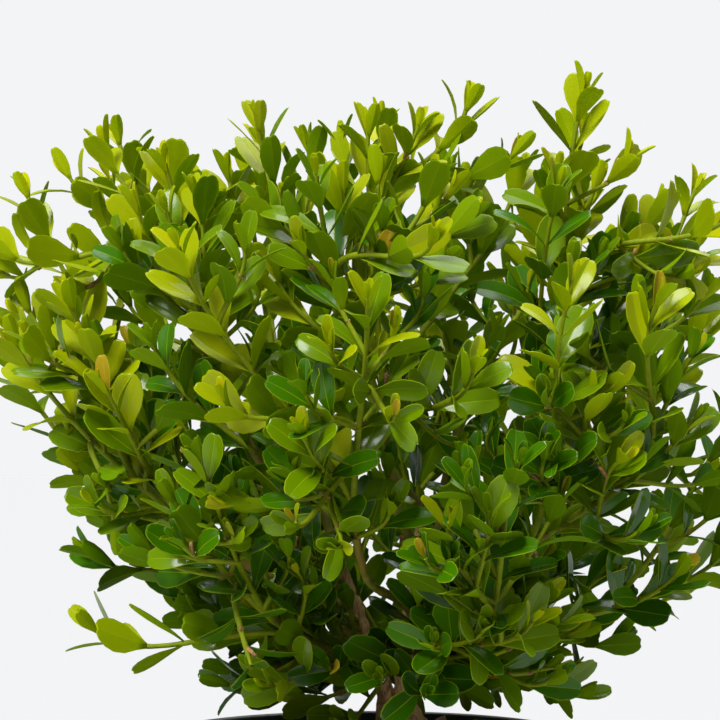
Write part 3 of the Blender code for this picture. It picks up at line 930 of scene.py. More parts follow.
def leaf_material(name, colour, **constants):
    """A plain base colour with the fine dimpled grain of a leathery leaf."""
    made, tree, shader = new_material(name, **constants)
    shader.inputs["Base Color"].default_value = (*colour, 1)
    shader.inputs["Subsurface Radius"].default_value = GLOW_COLOUR
    shader.inputs["Subsurface Scale"].default_value = GLOW_DEPTH
    mottle = add_mottle(tree, *LEAF_GRAIN)
    add_bump(tree, mottle.outputs["Height"], shader, *LEAF_BUMP)
    return made


# ---------------------------------------------------------------- pot and compost


def turned_mesh(name, profile, sectors, lift=None):
    """A closed solid of revolution. The profile runs (radius, height) from the axis to the axis."""
    shape = bmesh.new()
    rings = []
    for radius, height in profile[1:-1]:
        ring = []
        for k in range(sectors):
            turn = math.tau * k / sectors
            x, y = radius * math.cos(turn), radius * math.sin(turn)
            rise = lift(x, y, height) if lift else 0
            ring.append(shape.verts.new((x, y, height + rise)))
        rings.append(ring)
    ring_faces(shape, rings, closed=False)
    for ring, (_, height) in ((rings[0], profile[0]), (rings[-1], profile[-1])):
        rise = lift(0, 0, height) if lift else 0
        pole = shape.verts.new((0, 0, height + rise))
        for k in range(sectors):
            shape.faces.new((pole, ring[k], ring[(k + 1) % sectors]))
    bmesh.ops.recalc_face_normals(shape, faces=shape.faces)
    return smooth_mesh(shape, name)


def arc(centre, radius, first, last, count):
    """Points of a round edge in a profile, by its centre (radius, height) and angles in degrees."""
    found = []
    for k in range(count + 1):
        turn = math.radians(first + (last - first) * k / count)
        found.append((centre[0] + radius * math.cos(turn), centre[1] + radius * math.sin(turn)))
    return found


POT_SECTORS = 120
LIP = 1.4 * MM
LIP_FROM = 2.6
EDGE = 0.8 * MM
BAND_PROUD = 2.5 * MM
BAND_TAPER = 0.5 * MM
STACKING_STEP = 0.9 * MM
STACKING_HEIGHT = 92 * MM
FOOT_RING = 2.2 * MM
FOOT_INSIDE, FOOT_OUTSIDE = 9 * MM, 8 * MM
DRAIN_HOLES, DRAIN_SIDES = 6, 20
DRAIN_RADIUS = 4.5 * MM
DRAIN_CIRCLE = 36 * MM
DRAIN_DEPTH = 16 * MM
# Mottles of the plastic, the share of its colour that dust keeps and what it adds, its roughness
# where clean and where dusty, and the strength and depth of its grain
SMEARS = (38, 0.22, 0.3, (1, 1, 0.35))
PLASTIC_GRAIN = (900, 0.2, 0.3)
DUST_KEEPS, DUST_ADDS = 0.75, 0.02
PLASTIC_ROUGHNESS = (0.36, 0.6)
PLASTIC_BUMP = (0.5, 0.1 * MM)


def pot_profile(pot):
    """The pot's section from the middle of its underside, out and over the lip, and back inside."""
    rim, base, wall, top = pot.rim_radius, pot.base_radius, pot.wall, pot.height
    shoulder = rim - BAND_PROUD
    under_band = top - pot.band
    inner = shoulder - wall
    slope = (shoulder - base) / top
    step = base + slope * STACKING_HEIGHT
    return [
        (0, FOOT_RING / 2),
        (base - FOOT_INSIDE, FOOT_RING / 2),
        (base - FOOT_OUTSIDE, 0),
        *arc((base - EDGE, EDGE), EDGE, -90, 0, 3),
        (step - STACKING_STEP, STACKING_HEIGHT - STACKING_STEP),
        *arc((step - STACKING_STEP, STACKING_HEIGHT), STACKING_STEP, -60, 20, 3),
        (base + slope * under_band, under_band - EDGE),
        *arc((rim - EDGE, under_band + EDGE), EDGE, -90, 0, 3),
        (rim - BAND_TAPER, top - LIP_FROM * LIP),
        *arc((rim - LIP, top - LIP), LIP, 0, 90, 5),
        *arc((inner + LIP, top - LIP), LIP, 90, 180, 4),
        (inner - slope * pot.band, under_band),
        (base - wall, 2 * wall),
        (base - 2 * wall, wall + FOOT_RING / 2),
        (0, wall + FOOT_RING / 2),
    ]


def drain_cutter():
    """The drain holes as one mesh to cut with."""
    shape = bmesh.new()
    for k in range(DRAIN_HOLES):
        turn = math.tau * (k + 0.5) / DRAIN_HOLES
        middle = (DRAIN_CIRCLE * math.cos(turn), DRAIN_CIRCLE * math.sin(turn), 0)
        bmesh.ops.create_cone(
            shape,
            cap_ends=True,
            segments=DRAIN_SIDES,
            radius1=DRAIN_RADIUS,
            radius2=DRAIN_RADIUS,
            depth=DRAIN_DEPTH,
            matrix=Matrix.Translation(middle),
        )
    return smooth_mesh(shape, "drain cutter")


def plastic_material(pot):
    """Matt moulded plastic: fine grain, faint smears of dried water and dust."""
    made, tree, shader = new_material("pot plastic")
    smears = add_mottle(tree, *SMEARS)
    grain = add_mottle(tree, *PLASTIC_GRAIN)
    dusty = tuple(DUST_KEEPS * c + DUST_ADDS for c in pot.plastic)
    mix_colours(tree, smears.outputs["Mask"], pot.plastic, dusty, shader.inputs["Base Color"])
    smooth, rough = PLASTIC_ROUGHNESS
    nodes = {"rough": ("ShaderNodeMapRange", {}, {"To Min": smooth, "To Max": rough})}
    links = ("smears.Mask > rough.Value", "rough.Result > shader.Roughness")
    wire(tree, nodes, links, smears=smears, shader=shader)
    add_bump(tree, grain.outputs["Height"], shader, *PLASTIC_BUMP)
    return made


class SHRUB_OT_pot(bpy.types.Operator):
    """Turns the pot with its rolled lip, proud band, stacking step and drain holes"""

    bl_idname = "shrub.pot"
    bl_label = "Pot"

    def execute(self, context):
        pot = context.scene.shrub_pot
        cutter = bpy.data.objects.new("drain cutter", drain_cutter())
        context.scene.collection.objects.link(cutter)
        drill = ("BOOLEAN", {"operation": "DIFFERENCE", "object": cutter, "solver": "EXACT"})
        mesh = evaluated_mesh("pot", turned_mesh("pot", pot_profile(pot), POT_SECTORS), [drill])
        bpy.data.objects.remove(cutter)
        mesh.materials.clear()
        mesh.materials.append(plastic_material(pot))
        place_piece("round_pot", mesh, ["pot"])
        return {"FINISHED"}


COMPOST_SECTORS = 120
COMPOST_RINGS = 34
COMPOST_BOTTOM, COMPOST_LEVEL = (corner.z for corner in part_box("compost"))
COMPOST_SLOPE = 1.5 * MM
COMPOST_ROOM = 0.1 * MM
LUMPS, LUMP_MIDDLE = 1.1 * MM, 0.35
LUMP_SCALE = 160
# Roughness, gain and octaves of the lumps
LUMP_FRACTAL = (1.0, 2.1, 4)
# Shapes of a chip: width and thickness over its length
CHIP_SHAPES = ((0.55, 0.4), (0.4, 0.3), (0.8, 0.55), (0.85, 0.75), (0.3, 0.25))
CHIP_RAGGED = 0.13
CHIP_ROUND, CHIP_SQUARE, CHIP_SPAN = 0.45, 0.35, 1.7
CHIP_TILT = 0.5
# Radius of the bed that the number of chips is meant for
CHIP_BED = 0.07
CHIP_MOTTLE, CHIP_BUMP = (420, 0.14, 0.5), 0.5 * MM
EDGE_ROOM = 5 * MM


def lumps(x, y, height):
    """The compost's uneven top: higher lumps and small crumbs."""
    if height < COMPOST_BOTTOM * 2:
        return 0
    place = Vector((x, y, 0)) * LUMP_SCALE
    return LUMPS * (noise.fractal(place, *LUMP_FRACTAL) - LUMP_MIDDLE)


def compost_radius(pot, height):
    """The radius that fills the pot to just inside its wall at a height."""
    slope = (pot.rim_radius - BAND_PROUD - pot.base_radius) / pot.height
    return pot.base_radius + slope * height - pot.wall - COMPOST_ROOM


def compost_mesh(pot):
    """The compost as a closed solid with a lumpy top that falls a little towards the wall."""
    edge = compost_radius(pot, COMPOST_LEVEL)
    profile = [(0, COMPOST_LEVEL)]
    for k in range(1, COMPOST_RINGS + 1):
        share = k / COMPOST_RINGS
        profile.append((edge * share, COMPOST_LEVEL - COMPOST_SLOPE * share**3))
    bottom = COMPOST_BOTTOM + 1 * MM
    profile.append((compost_radius(pot, bottom) - pot.wall, bottom))
    profile.append((0, bottom))
    return turned_mesh("compost", profile, COMPOST_SECTORS, lumps)


def top_of(mesh):
    """A copy of the compost's top alone, for the chips to lie on."""
    shape = bmesh.new()
    shape.from_mesh(mesh)
    rest = [face for face in shape.faces if face.calc_center_median().z < COMPOST_LEVEL - EDGE_ROOM]
    bmesh.ops.delete(shape, geom=rest, context="FACES")
    return smooth_mesh(shape, "compost top")


def chip_mesh(k):
    """A shred of bark or a crumb: a blunted box with uneven, ragged corners."""
    draw = random.Random(f"chip {k}")
    wide, thick = CHIP_SHAPES[k]
    shape = bmesh.new()
    bmesh.ops.create_cube(shape, size=1)
    bmesh.ops.subdivide_edges(shape, edges=shape.edges[:], cuts=1, use_grid_fill=True)
    for vert in shape.verts:
        ragged = Vector([draw.uniform(-CHIP_RAGGED, CHIP_RAGGED) for _ in range(3)])
        blunt = unit(vert.co) * CHIP_ROUND + vert.co * CHIP_SQUARE
        vert.co = (blunt + ragged) * math.sqrt(3) / CHIP_SPAN
        vert.co.y *= wide
        vert.co.z *= thick
    mesh = bpy.data.meshes.new(f"chip_shape_{k}")
    shape.to_mesh(mesh)
    shape.free()
    return mesh


def shape_collection(name, meshes):
    """A collection of shapes to instance, outside the scene. Their order is that of their names."""
    made = bpy.data.collections.new(name)
    for k, mesh in enumerate(meshes):
        made.objects.link(bpy.data.objects.new(f"{name} {k:02d}", mesh))
    return made


def drop_collection(collection):
    """Removes a collection and the objects in it."""
    for obj in list(collection.objects):
        bpy.data.objects.remove(obj)
    bpy.data.collections.remove(collection)


def new_tree(name, inputs, nodes, links):
    """A Geometry Nodes tree with a Geometry input, these named inputs and a Geometry output."""
    tree = bpy.data.node_groups.new(name, "GeometryNodeTree")
    tree.interface.new_socket("Geometry", in_out="INPUT", socket_type="NodeSocketGeometry")
    for label, kind in inputs:
        tree.interface.new_socket(label, in_out="INPUT", socket_type=f"NodeSocket{kind}")
    tree.interface.new_socket("Geometry", in_out="OUTPUT", socket_type="NodeSocketGeometry")
    ends = {"given": ("NodeGroupInput", {}, {}), "result": ("NodeGroupOutput", {}, {})}
    wire(tree, {**ends, **nodes}, links)
    return tree


def read_attribute(name, kind):
    """The entry of a node that reads a named attribute."""
    return "GeometryNodeInputNamedAttribute", {"data_type": kind}, {"Name": name}


# What puts shapes on points as real geometry: its nodes, and the links between them
INSTANCING_NODES = {
    "shapes": (
        "GeometryNodeCollectionInfo", {}, {"Separate Children": True, "Reset Children": True}
    ),
    "turned": ("FunctionNodeEulerToRotation", {}, {}),
    "placed": ("GeometryNodeInstanceOnPoints", {}, {"Pick Instance": True}),
    "real": ("GeometryNodeRealizeInstances", {}, {}),
}
INSTANCING_LINKS = (
    "given.Shapes > shapes.Collection",
    "shapes.0 > placed.Instance",
    "turned.0 > placed.Rotation",
    "placed.0 > real.Geometry",
)
# The same for points that carry their own shape, turn and size
CARRIED_NODES = {
    "shape": read_attribute("shape", "INT"),
    "turn": read_attribute("turn", "FLOAT_VECTOR"),
    "size": read_attribute("size", "FLOAT_VECTOR"),
}
CARRIED_LINKS = (
    "given.Geometry > placed.Points",
    "shape.0 > placed.Instance Index",
    "turn.0 > turned.0",
    "size.0 > placed.Scale",
)


def chips_tree():
    """Scatters chips over the top of the compost: seeded places, sizes, turns and shapes."""
    inputs = (
        ("Shapes", "Collection"),
        ("Count", "Int"),
        ("Smallest", "Float"),
        ("Largest", "Float"),
        ("Seed", "Int"),
        ("Material", "Material"),
    )
    least, most = (-CHIP_TILT, -CHIP_TILT, 0), (CHIP_TILT, CHIP_TILT, math.tau)
    # Random Value takes the limits of a vector in sockets 0 and 1, of a number in 2 and 3 and of a
    # whole number in 4 and 5, and gives them out in 0, 1 and 2
    nodes = {
        **INSTANCING_NODES,
        "density": ("ShaderNodeMath", {"operation": "DIVIDE"}, {1: math.pi * CHIP_BED**2}),
        "scatter": ("GeometryNodeDistributePointsOnFaces", {}, {}),
        "size": ("FunctionNodeRandomValue", {"data_type": "FLOAT"}, {}),
        "tilt": ("FunctionNodeRandomValue", {"data_type": "FLOAT_VECTOR"}, {0: least, 1: most}),
        "pick": ("FunctionNodeRandomValue", {"data_type": "INT"}, {4: 0, 5: len(CHIP_SHAPES) - 1}),
        "paint": ("GeometryNodeSetMaterial", {}, {}),
    }
    links = (
        *INSTANCING_LINKS,
        "given.Count > density.0",
        "density.0 > scatter.Density",
        "given.Geometry > scatter.Mesh",
        "given.Seed > scatter.Seed",
        "given.Seed > size.Seed",
        "given.Seed > tilt.Seed",
        "given.Seed > pick.Seed",
        "given.Smallest > size.2",
        "given.Largest > size.3",
        "scatter.Points > placed.Points",
        "pick.2 > placed.Instance Index",
        "tilt.0 > turned.0",
        "size.1 > placed.Scale",
        "real.0 > paint.Geometry",
        "given.Material > paint.Material",
        "paint.0 > result.Geometry",
    )
    return new_tree("scattered chips", inputs, nodes, links)


def chip_kinds(pot):
    """The chips and crumbs on the compost: name, share, smallest and largest size, and finish."""
    red, dark = tuple(pot.chip), tuple(pot.compost)
    return (
        ("bark_chips", 0.3, 4.5 * MM, 9 * MM, "red bark chips", red, scaled(red, 0.45)),
        ("pale_chips", 0.12, 3 * MM, 7 * MM, "pale chips", (0.42, 0.24, 0.11), (0.2, 0.1, 0.05)),
        ("compost_crumbs", 1.6, 1.6 * MM, 4.2 * MM, "crumbs", scaled(dark, 1.3), scaled(dark, 0.35)),
    )


class SHRUB_OT_compost(bpy.types.Operator):
    """Fills the pot with lumpy compost and scatters bark chips and crumbs over it"""

    bl_idname = "shrub.compost"
    bl_label = "Compost and chips"

    def execute(self, context):
        pot = context.scene.shrub_pot
        mesh = compost_mesh(pot)
        dark = tuple(pot.compost)
        finish = mottled_material("compost", dark, scaled(dark, 0.3), 0.95, (260, 0.12, 0.5), 1.2 * MM)
        mesh.materials.append(finish)
        bed = top_of(mesh)
        place_piece("compost_bed", mesh, ["compost"])
        shapes = shape_collection("chip shapes", [chip_mesh(k) for k in range(len(CHIP_SHAPES))])
        tree = chips_tree()
        for k, (name, share, small, large, finish, light, shade) in enumerate(chip_kinds(pot)):
            material = mottled_material(finish, light, shade, 0.85, CHIP_MOTTLE, CHIP_BUMP)
            values = {
                "node_group": tree,
                "input Shapes": shapes,
                "input Count": round(pot.chips * share),
                "input Smallest": small,
                "input Largest": large,
                "input Seed": pot.seed + k,
                "input Material": material,
            }
            chips = evaluated_mesh(name, bed, [("NODES", values)])
            place_piece(name, chips, [])
        drop_collection(shapes)
        bpy.data.meshes.remove(bed)
        return {"FINISHED"}


# ---------------------------------------------------------------- bark


TRUNK_SIDES, STEM_SIDES, BOUGH_SIDES = 32, 20, 14
STEM_STEP, BOUGH_STEP = 0.8 * MM, 0.9 * MM
TRUNK_SUNK, STEM_SUNK, BOUGH_SUNK = 2 * MM, 7 * MM, STEM_TIP_RADIUS * 1.6
STEM_PAST_END, BOUGH_PAST_END = 1.5 * MM, 0.5 * MM
SMOOTHING = 6
FURROW_SCALE = 330
FURROW_STRETCH = 0.22
WARP, WARP_SCALE = 0.8, 0.5
PLATE_EDGE = 2.4
BARK_GRAIN, BARK_GRAIN_SCALE = 0.4, 3
BOUGH_RELIEF = 0.12 * MM
NODE_SPACING = 12.5 * MM
NODE_SWELLING = 0.16
NODE_WIDTH = 1.5 * MM


def furrows(place):
    """How far out the bark stands at a place, from -1 in a furrow to about 1 on a plate."""
    drawn_out = Vector((place.x, place.y, place.z * FURROW_STRETCH)) * FURROW_SCALE
    warp = noise.noise_vector(drawn_out * WARP_SCALE) * WARP
    plates = noise.voronoi(drawn_out + warp)[0]
    plate = min(1.0, (plates[1] - plates[0]) * PLATE_EDGE)
    return plate - 0.5 + BARK_GRAIN * noise.noise(drawn_out * BARK_GRAIN_SCALE)


def relieved(mesh, depth):
    """Moves every vertex out or in along its normal by the bark's relief."""
    # Without a seed, noise_vector is different in each run
    noise.seed_set(SEED)
    shape = bmesh.new()
    shape.from_mesh(mesh)
    shape.normal_update()
    moves = [vert.normal * (depth * furrows(vert.co)) for vert in shape.verts]
    for vert, move in zip(shape.verts, moves):
        vert.co += move
    bmesh.ops.recalc_face_normals(shape, faces=shape.faces)
    return smooth_mesh(shape, mesh.name)


def bark_material(limbs):
    """Grey-tan plates with dark furrows, drawn out up the stem."""
    colours = (limbs.furrow, limbs.bark, scaled(limbs.bark, 1.5))
    plates, patches = (300, 0.07, 0.45, (1, 1, 0.22)), (45, 0.2, 0.2)
    bump = (1.0, 1.1 * MM)
    return streaked_material("bark", colours, plates, patches, 0.55, bump, Roughness=0.85)


class SHRUB_OT_stems(bpy.types.Operator):
    """Sweeps the flared trunk and its three stems, blends their fork and raises the bark"""

    bl_idname = "shrub.stems"
    bl_label = "Trunk and stems"

    def execute(self, context):
        limbs = context.scene.shrub_limbs
        trunk, stems, _, _ = grown_plant(context.scene.shrub_shoots.fine_share)
        shape = bmesh.new()
        sweep(shape, trunk, TRUNK_SIDES, STEM_STEP, TRUNK_SUNK)
        for stem in stems:
            sweep(shape, stem, STEM_SIDES, STEM_STEP, STEM_SUNK, STEM_PAST_END)
        blend = ("REMESH", {"mode": "VOXEL", "voxel_size": limbs.voxel})
        soften = ("SMOOTH", {"factor": 0.5, "iterations": SMOOTHING})
        mesh = evaluated_mesh("trunk and stems", smooth_mesh(shape, "trunk"), [blend, soften])
        mesh = relieved(mesh, limbs.bark_relief)
        mesh.materials.append(bark_material(limbs))
        nodes = ["trunk"] + [f"stem_{k + 1}" for k in range(len(stems))]
        place_piece("trunk_and_stems", mesh, nodes)
        return {"FINISHED"}


def leaf_scars(distance):
    """How much thicker a limb is where a pair of leaves once stood."""
    from_node = (distance + NODE_SPACING / 2) % NODE_SPACING - NODE_SPACING / 2
    return 1 + NODE_SWELLING * math.exp(-((from_node / NODE_WIDTH) ** 2))


def green_bark_material(name, green, brown):
    """Olive skin with fine stripes of a darker olive, and patches of brown cork."""
    colours = (scaled(green, 0.7), green, brown)
    stripes, patches = (420, 0.16, 0.4, (1, 1, 0.35)), (70, 0.14, 0.3)
    constants = {"Roughness": 0.6, "Specular_IOR_Level": 0.2}
    return streaked_material(name, colours, stripes, patches, 0.28, (0.7, 0.3 * MM), **constants)


class SHRUB_OT_boughs(bpy.types.Operator):
    """Sweeps the eighteen green-barked boughs, swollen at their old leaf scars"""

    bl_idname = "shrub.boughs"
    bl_label = "Boughs"

    def execute(self, context):
        limbs = context.scene.shrub_limbs
        _, _, boughs, _ = grown_plant(context.scene.shrub_shoots.fine_share)
        shape = bmesh.new()
        for bough in boughs.values():
            sweep(shape, bough, BOUGH_SIDES, BOUGH_STEP, BOUGH_SUNK, BOUGH_PAST_END, leaf_scars)
        mesh = relieved(smooth_mesh(shape, "boughs"), BOUGH_RELIEF)
        brown = scaled(limbs.bark, 0.9)
        mesh.materials.append(green_bark_material("green bark", limbs.green_bark, brown))
        place_piece("boughs", mesh, [f"bough_{name}" for name in boughs])
        return {"FINISHED"}


# ---------------------------------------------------------------- shoots


SHOOT_SIDES = 6
PLUMPNESS = 1.3
WOODY_FROM = 1.4 * MM
SHOOT_STEP = 1.6 * MM
FEWEST_POINTS = 4
WELD = 0.001 * MM


def leaf_nodes(twig):
    """How far from its base each pair of leaves stands on a twig, from the tip down."""
    found, distance, k = [], twig.length - FINE_TIP_RADIUS, 0
    while distance > BARE_BASE:
        found.append(distance)
        k += 1
        distance -= NODE_STEPS[min(k, len(NODE_STEPS) - 1)]
    return found


def shoots_curve(name, twigs):
    """The twigs of a mass as one curve, swollen where the leaves stand."""
    curve = bpy.data.curves.new(name, "CURVE")
    curve.dimensions = "3D"
    for twig in twigs:
        nodes = np.array(leaf_nodes(twig) or [0.0])
        count = max(FEWEST_POINTS, math.ceil(twig.length / SHOOT_STEP))
        spline = curve.splines.new("POLY")
        spline.points.add(count - 1)
        for k, point in enumerate(spline.points):
            distance = twig.length * k / (count - 1)
            place, _, radius = twig.at(distance)
            swollen = math.exp(-((np.abs(nodes - distance).min() / NODE_WIDTH) ** 2))
            point.co = (*place, 1)
            point.radius = radius * PLUMPNESS * (1 + NODE_SWELLING * swollen)
    return curve


def shoots_tree():
    """Sweeps a section along every shoot. Thick stretches are woody, thin ones green."""
    inputs = (
        ("Sides", "Int"),
        ("Woody from radius", "Float"),
        ("Green shoot", "Material"),
        ("Woody shoot", "Material"),
    )
    kept = {"data_type": "FLOAT", "domain": "POINT"}
    above = {"data_type": "FLOAT", "operation": "GREATER_THAN"}
    nodes = {
        "radius": ("GeometryNodeInputRadius", {}, {}),
        "keep": ("GeometryNodeStoreNamedAttribute", kept, {"Name": "thickness"}),
        "section": ("GeometryNodeCurvePrimitiveCircle", {}, {"Radius": 1}),
        "swept": ("GeometryNodeCurveToMesh", {}, {"Fill Caps": True}),
        "real": ("GeometryNodeRealizeInstances", {}, {}),
        "thickness": read_attribute("thickness", "FLOAT"),
        "thick": ("FunctionNodeCompare", above, {}),
        "green": ("GeometryNodeSetMaterial", {}, {}),
        "woody": ("GeometryNodeSetMaterial", {}, {}),
    }
    links = (
        "given.Geometry > keep.Geometry",
        "radius.0 > keep.Value",
        "given.Sides > section.Resolution",
        "keep.0 > swept.Curve",
        "section.0 > swept.Profile Curve",
        "radius.0 > swept.Scale",
        "swept.0 > real.Geometry",
        "real.0 > green.Geometry",
        "given.Green shoot > green.Material",
        "thickness.0 > thick.0",
        "given.Woody from radius > thick.1",
        "green.0 > woody.Geometry",
        "thick.0 > woody.Selection",
        "given.Woody shoot > woody.Material",
        "woody.0 > result.Geometry",
    )
    return new_tree("swept shoots", inputs, nodes, links)


def welded(mesh):
    """Merges doubles, points the faces outwards, shades them smooth and drops spare attributes."""
    shape = bmesh.new()
    shape.from_mesh(mesh)
    bmesh.ops.remove_doubles(shape, verts=shape.verts, dist=WELD)
    bmesh.ops.recalc_face_normals(shape, faces=shape.faces)
    for face in shape.faces:
        face.smooth = True
    shape.to_mesh(mesh)
    shape.free()
    return without_spares(mesh)


class SHRUB_OT_shoots(bpy.types.Operator):
    """Sweeps the leaders, side shoots and finer shoots of each mass of foliage"""

    bl_idname = "shrub.shoots"
    bl_label = "Shoots"

    def execute(self, context):
        shoots = context.scene.shrub_shoots
        leafy = leafy_plant(shoots.fine_share, context.scene.shrub_leaves.length)
        values = {
            "node_group": shoots_tree(),
            "input Sides": SHOOT_SIDES,
            "input Woody from radius": WOODY_FROM,
            "input Green shoot": green_bark_material(
                "green shoot", shoots.green, scaled(shoots.green, 0.8)
            ),
            "input Woody shoot": green_bark_material("woody shoot", shoots.woody, shoots.dry),
        }
        for name, (twigs, _) in leafy.items():
            curve = shoots_curve(name, twigs)
            mesh = welded(evaluated_mesh(name, curve, [("NODES", values)]))
            place_piece(f"shoots_{name}", mesh, stood_for(name))
        return {"FINISHED"}


# ---------------------------------------------------------------- leaves


# Shapes of a leaf: width over length, fold at the rib, how far the blade's edges roll down, how
# far it bends down along its length, twist in radians, and the notch at its tip
LEAF_SHAPES = (
    (0.44, 0.22, 0.12, 0.3, 0.0, 0.014),
    (0.4, 0.3, 0.08, 0.5, 0.15, 0.01),
    (0.48, 0.16, 0.16, 0.15, -0.12, 0.02),
    (0.42, 0.34, 0.05, -0.3, 0.1, 0.008),
    (0.38, 0.28, 0.1, 0.7, -0.22, 0.012),
    (0.5, 0.22, 0.14, 0.05, 0.25, 0.018),
    (0.38, 0.44, 0.05, 0.25, 0.05, 0.004),
    (0.34, 0.55, 0.04, -0.1, -0.08, 0.0),
)
GROWN_SHAPES, YOUNG_SHAPES = (0, 1, 2, 3, 4, 5), (6, 7)
LEAF_ROWS = (0, 0.2, 0.42, 0.64, 0.82, 0.94, 0.99)
LEAF_COLUMNS = (-1, -0.52, 0, 0, 0.52, 1)
RIB_COLUMN = 2
WIDEST_AT = 0.62
STALK_END_POWER, TIP_END_POWER = 1.5, 2.1
STALK_HALF_WIDTH = 0.022
RIB_HALF_WIDTH, RIB_TAPER = 0.011, 0.75
RIM = 0.012
BLADE_THICKNESS = 0.0105
# Where a leaf is tested for room: shares of its length and of its half width
TEST_ROWS, TEST_COLUMNS = (0.3, 0.62, 0.95), (-0.8, 0, 0.8)
BUD_FORWARD, BUD_WIDTH, BUD_HEIGHT = 0.4, 0.55, 0.45


def half_width(u, width):
    """Half the width of a blade at a share of its length: drawn in to the stalk, blunt at the tip."""
    if u < WIDEST_AT:
        blade = math.sin(math.pi / 2 * u / WIDEST_AT) ** STALK_END_POWER
    else:
        blade = math.sqrt(1 - ((u - WIDEST_AT) / (1 - WIDEST_AT)) ** TIP_END_POWER)
    return STALK_HALF_WIDTH + (width / 2 - STALK_HALF_WIDTH) * blade


def blade_place(u, across, rise, bend_down, twist):
    """A point of a leaf: across and rise are taken in its section, which bends and twists with u."""
    turn, roll = bend_down * u, twist * u
    x, z = math.sin(turn) / bend_down, -(1 - math.cos(turn)) / bend_down
    y = across * math.cos(roll) - rise * math.sin(roll)
    up = across * math.sin(roll) + rise * math.cos(roll)
    return Vector((x + up * math.sin(turn), y, z + up * math.cos(turn)))


def leaf_mesh(k):
    """A unit-long leaf along X with its upper side up: blade, pale rib, rim and underside."""
    width, fold, roll, bend_down, twist, notch = LEAF_SHAPES[k]
    shape = bmesh.new()
    part = shape.faces.layers.int.new("part")

    def corner(u, v, side_shift, depth):
        half = half_width(u, width)
        across = v * half + side_shift
        rise = fold * abs(v) * half - roll * abs(v) ** 3 * half - BLADE_THICKNESS * depth
        back = notch * (1 - abs(v)) if u == LEAF_ROWS[-1] else 0
        return shape.verts.new(blade_place(u - back, across, rise, bend_down, twist))

    def add_faces(label, *faces):
        for corners in faces:
            shape.faces.new(corners)[part] = label

    tops, bottoms = [], []
    for u in LEAF_ROWS:
        rib = RIB_HALF_WIDTH * (1 - RIB_TAPER * u)
        shifts = (0, 0, -rib, rib, 0, 0)
        tops.append([corner(u, v, shift, 0) for v, shift in zip(LEAF_COLUMNS, shifts)])
        sides = ((-1, -RIM, 0.5), (0, -rib, 1), (0, rib, 1), (1, RIM, 0.5))
        bottoms.append([corner(u, v, shift, depth) for v, shift, depth in sides])
    for a, b in zip(tops, tops[1:]):
        for m in range(len(LEAF_COLUMNS) - 1):
            add_faces(RIB if m == RIB_COLUMN else TOP, (a[m], a[m + 1], b[m + 1], b[m]))
    for a, b, c, d in zip(tops, tops[1:], bottoms, bottoms[1:]):
        left_rim, right_rim = (c[0], a[0], b[0], d[0]), (a[-1], c[3], d[3], b[-1])
        add_faces(RIB, left_rim, right_rim, (c[2], c[1], d[1], d[2]))
        add_faces(UNDER, (c[1], c[0], d[0], d[1]), (c[3], c[2], d[2], d[3]))
    add_faces(RIB, (*tops[0][::-1], *bottoms[0]), (*tops[-1], *bottoms[-1][::-1]))
    bmesh.ops.recalc_face_normals(shape, faces=shape.faces)
    rim = {vert for row in (*tops, *bottoms) for vert in (row[0], row[-1])}
    for edge in shape.edges:
        edge.smooth = not rim.issuperset(edge.verts)
    return smooth_mesh(shape, f"leaf_shape_{k}")


def bud_mesh():
    """A small closed bud: a squashed sphere."""
    shape = bmesh.new()
    bmesh.ops.create_uvsphere(shape, u_segments=6, v_segments=5, radius=0.5)
    for vert in shape.verts:
        vert.co = (vert.co.x + BUD_FORWARD, vert.co.y * BUD_WIDTH, vert.co.z * BUD_HEIGHT)
    return smooth_mesh(shape, "bud_shape")


def leaf_places(root, way, side, length):
    """Places over a leaf's blade in rows from its stalk, for testing what it comes near."""
    found = []
    for u in TEST_ROWS:
        half = half_width(u, LEAF_SHAPES[0][0])
        found += [root + way * (u * length) + side * (v * half * length) for v in TEST_COLUMNS]
    return np.array(found)


def spray_tint(tip, draw):
    """The tint that most of a spray's leaves have: newer and lighter towards the top, with painted
    shade low and deep in the crown and painted light on its outside and sides, most on the left.
    """
    rise, side = (tip.z - CROWN_CENTRE.z) / CROWN_HALF.z, tip.x / CROWN_HALF.x
    # The height term is partly newer growth at the top and partly painted light above and painted shade
    # below
    climb = TINT_BY_HEIGHT * rise + TINT_NEAR_TOP * max(rise, 0) ** 2
    # Painted shade on sprays deep in the crown, painted light on the outermost ones
    outer = PAINTED_SHADE_BY_SHARE * (crown_share(tip) - PAINTED_SHADE_PIVOT_SHARE)
    # The side terms paint light on both sides of the crown, most on the left, and leave the centre
    # darker
    lit = TINT_START + climb + outer + PAINTED_LIGHT_BY_SIDE * abs(side) + max(-side, 0) ** 2
    lit += draw.uniform(-SPRAY_TINT_JITTER, SPRAY_TINT_JITTER)
    return min(max(lit, 0.0), TINT_MOST)


def leaf_frames(twig, draw):
    """Root, direction, upper side, size and place from the tip of each leaf, in crossed pairs."""
    frames = []
    across = crossing(twig, draw)
    for k, distance in enumerate(leaf_nodes(twig)):
        nearer = min(k, len(PAIR_SIZES) - 1)
        root, along, radius = twig.at(distance)
        across = square_to(across, along)
        for side in (across, -across):
            size = PAIR_SIZES[nearer] * draw.uniform(*LEAF_SIZES)
            opening = math.radians(PAIR_OPENINGS[nearer] + draw.uniform(*OPENING_JITTER))
            way = unit(leaning(along, side, opening))
            way = unit(way + upwards(LIFT * (1 - abs(way.z)) - LIFT_OF_HANGING * min(way.z, 0)))
            above = square_to(square_to(along, way) + upwards(SKYWARD), way)
            above = turned_about(above, way, draw.uniform(-LEAF_ROLL, LEAF_ROLL))
            frames.append((root + side * (radius / 2), way, above, size, k))
        across = along.cross(across)
    return frames


